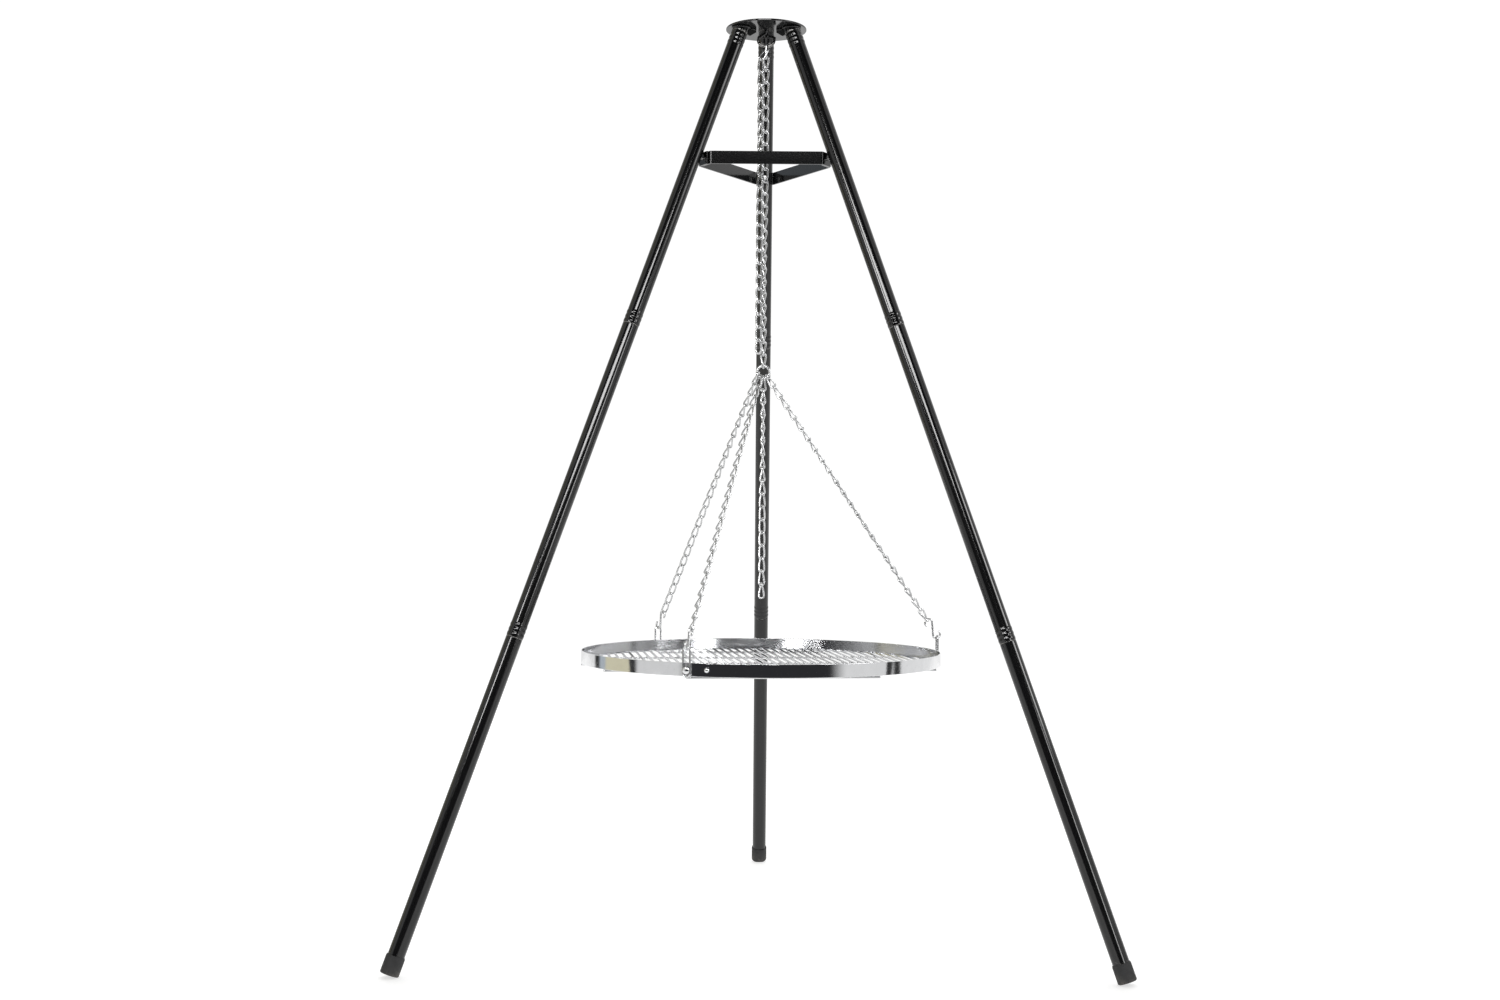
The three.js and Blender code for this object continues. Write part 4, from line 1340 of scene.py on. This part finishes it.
def add_eye(hanger):
    """A closed oval of wire that stands on the band's outside."""
    node = f"grill_eye_{hanger.number}"
    low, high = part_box(node)
    half_width = (EYE_WIDTH - EYE_WIRE) / 2
    straight = (high.z - low.z - EYE_WIRE) / 2 - half_width
    across = UP.cross(outward(hanger.azimuth))
    centre = (low + high) / 2
    path = []
    for end in (1, -1):
        for angle in arc(0, 180, EYE_ARC_STEPS)[:-1]:
            offset = half_width * math.cos(angle) * across
            rise = straight + half_width * math.sin(angle)
            path.append(centre + end * (offset + rise * UP))
        for step in range(1, EYE_SIDE_STEPS):
            rise = straight * (1 - 2 * step / EYE_SIDE_STEPS)
            path.append(centre + end * (rise * UP - half_width * across))
    shells = Shells()
    wire(shells, path, EYE_WIRE / 2, EYE_SIDES, closed=True)
    place_shells(shells, node, "plated_wire")


def rod_half_length(offset, limit):
    return math.sqrt(limit**2 - (abs(offset) + ROD_RADIUS) ** 2)


def add_rod(shells, direction, half_length, middle):
    path = [middle + station * half_length * direction for station in ROD_STATIONS]
    blunt_wire(shells, path, ROD_RADIUS, ROD_SIDES)


def add_weld_spot(shells, centre, along, across):
    """A low squashed bead where a rod is welded to a cross rod."""
    length, width, height = SPOT_SIZE
    rings = []
    for angle in arc(0, 180, SPOT_RINGS)[1:-1]:
        middle = centre - height * math.cos(angle) * UP
        radius = math.sin(angle)
        rings.append(ring_points(middle, length * along, width * across, radius, SPOT_SIDES))
    shells.add_rings(rings, closed=False)


def add_grate():
    """The round rods, the cross rods under them and the welds between."""
    low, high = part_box("grate")
    cross_middle, rod_middle = at(0, 0, low.z + ROD_RADIUS), at(0, 0, high.z - ROD_RADIUS)
    along_cross = outward(HANGERS[0].azimuth)
    along_rods = UP.cross(along_cross)
    shells = Shells()
    cross_rods = []
    for share in CROSS_ROD_OFFSETS:
        offset = share * GRILL_RADIUS
        half = rod_half_length(offset, GRILL_RADIUS)
        cross_rods.append((offset, half))
        add_rod(shells, along_cross, half, cross_middle + offset * along_rods)
    for index in range(ROD_COUNT):
        offset = (index - (ROD_COUNT - 1) / 2) * ROD_PITCH
        half = rod_half_length(offset, GRILL_RADIUS - BAND_THICKNESS - GAP)
        add_rod(shells, along_rods, half, rod_middle + offset * along_cross)
        for cross_offset, cross_half in cross_rods:
            if abs(cross_offset) < half and abs(offset) < cross_half:
                spot = (cross_middle + rod_middle) / 2 + cross_offset * along_rods + offset * along_cross
                add_weld_spot(shells, spot, along_cross, along_rods)
    place_shells(shells, "grate", "plated_wire")


add_band()
add_grate()
add_rivet("seam_rivet", SEAM_RIVET_ANGLE)
for hanger in HANGERS:
    add_rivet(f"eye_rivet_{hanger.number}", hanger.azimuth)
    add_eye(hanger)

# ---- Studio --------------------------------------------------------------------------------------

FLOOR_LEFT, FLOOR_RIGHT, FLOOR_FRONT, FLOOR_BACK = -4, 4, -1.9, 5
FLOOR_GLOW = 0.62
SOFTBOXES = (  # name, place and target from the axis, (width, height), watts, spread in degrees
    ("front", (-0.37, -4.5, 2.95), (0, 0, 0.75), (2.85, 0.85), 125, 180),
    ("left", (-2.4, -3.4, 2.05), (0, 0, 0.9), (0.7, 0.6), 26, 180),
    ("right", (2.6, -3.0, 1.15), (0, 0, 0.75), (0.7, 1.2), 22, 180),
    ("side", (2.48, -1.07, 1.7), (0.3, -0.17, 0.5), (0.9, 0.8), 2, 60),
    ("overhead", (0, 3, 3.8), (0, 0.5, 0), (6, 5), 70, 180),
)
BACKDROP = 1.05
BRIGHT = (0.9, 0.9, 0.9)
PALE = (0.85, 0.85, 0.85)
GREY = (0.78, 0.78, 0.78)
BLUISH = (0.5, 0.55, 0.6)
BEIGE = (0.72, 0.68, 0.5)
FLAG = (0.04, 0.04, 0.04)
DARK = (0.03, 0.03, 0.033)
WALLS = (  # from and to, in degrees to the right of straight in front, and the wall's colour
    (-180, -180, BRIGHT),
    (-129.5, -129.5, PALE),
    (-129, -122.5, FLAG),
    (-122, -114.5, BLUISH),
    (-114, -90, BEIGE),
    (-89.5, -84.5, FLAG),
    (-84, -52, GREY),
    (-44, 44, DARK),
    (54, 91, PALE),
    (91.5, 97, FLAG),
    (97.5, 180, BRIGHT),
)


def add_softboxes():
    for name, place_from_axis, target, (width, height), watts, spread in SOFTBOXES:
        data = bpy.data.lights.new(f"softbox_{name}", "AREA")
        data.shape = "RECTANGLE"
        data.size, data.size_y = width, height
        data.energy = watts
        data.spread = math.radians(spread)
        light = add_object(f"softbox_{name}", data)
        light.location = at(*place_from_axis)
        light.rotation_euler = (at(*target) - light.location).to_track_quat("-Z", "Y").to_euler()
        light.visible_camera = False
        light.visible_glossy = name != "overhead"
        light.visible_diffuse = name == "overhead"


def add_room():
    """A white background, with a room of pale walls and dark flags for the reflections."""
    world = bpy.data.worlds.new("room")
    bpy.context.scene.world = world
    world.use_nodes = True
    room = Nodes(world.node_tree)
    direction = room.split(room.add("ShaderNodeTexCoord").outputs["Generated"])
    forward = room.combine("MULTIPLY", direction["Y"], -1)
    azimuth = room.combine("ARCTAN2", direction["X"], forward)
    walls = room.add("ShaderNodeValToRGB")
    paint_walls(walls.color_ramp)
    turns = room.combine("DIVIDE", azimuth, math.tau)
    room.feed(room.combine("ADD", turns, 0.5), walls.inputs["Fac"])
    reflected = world.node_tree.nodes["Background"]
    room.feed(walls.outputs["Color"], reflected.inputs["Color"])
    white = room.add("ShaderNodeBackground")
    room.feed((1, 1, 1), white.inputs["Color"])
    room.feed(BACKDROP, white.inputs["Strength"])
    seen = room.add("ShaderNodeMixShader")
    room.feed(room.add("ShaderNodeLightPath").outputs["Is Camera Ray"], seen.inputs["Fac"])
    room.feed(reflected.outputs["Background"], seen.inputs[1])
    room.feed(white.outputs["Background"], seen.inputs[2])
    room.feed(seen.outputs["Shader"], world.node_tree.nodes["World Output"].inputs["Surface"])


def paint_walls(ramp):
    """Gives the ramp, which goes once round the room, a stop at both ends of each wall."""
    first, last = ramp.elements
    stops = {degrees: colour for start, end, colour in WALLS for degrees in (start, end)}
    for degrees, colour in stops.items():
        position = (degrees + 180) / 360
        stop = {-180: first, 180: last}.get(degrees) or ramp.elements.new(position)
        stop.color = (*colour, 1)


def add_floor():
    mesh = bpy.data.meshes.new("floor")
    front = [at(side, FLOOR_FRONT, 0) for side in (FLOOR_LEFT, FLOOR_RIGHT)]
    back = [at(side, FLOOR_BACK, 0) for side in (FLOOR_RIGHT, FLOOR_LEFT)]
    mesh.from_pydata(front + back, [], [(0, 1, 2, 3)])
    finish = Finish("pale_floor", Roughness=0.7, Emission_Color=(1, 1, 1), Emission_Strength=FLOOR_GLOW)
    cloud = finish.noise(1.4, detail=5)
    finish.drive("Base Color", finish.blend(cloud, (0.6, 0.6, 0.6), (0.64, 0.64, 0.64)))
    finish.bump((finish.noise(300, detail=2), 0.05 * MM))
    mesh.materials.append(finish.material)
    floor = add_object("floor", mesh)


add_softboxes()
add_room()
add_floor()
bpy.context.scene.view_settings.view_transform = "Standard"
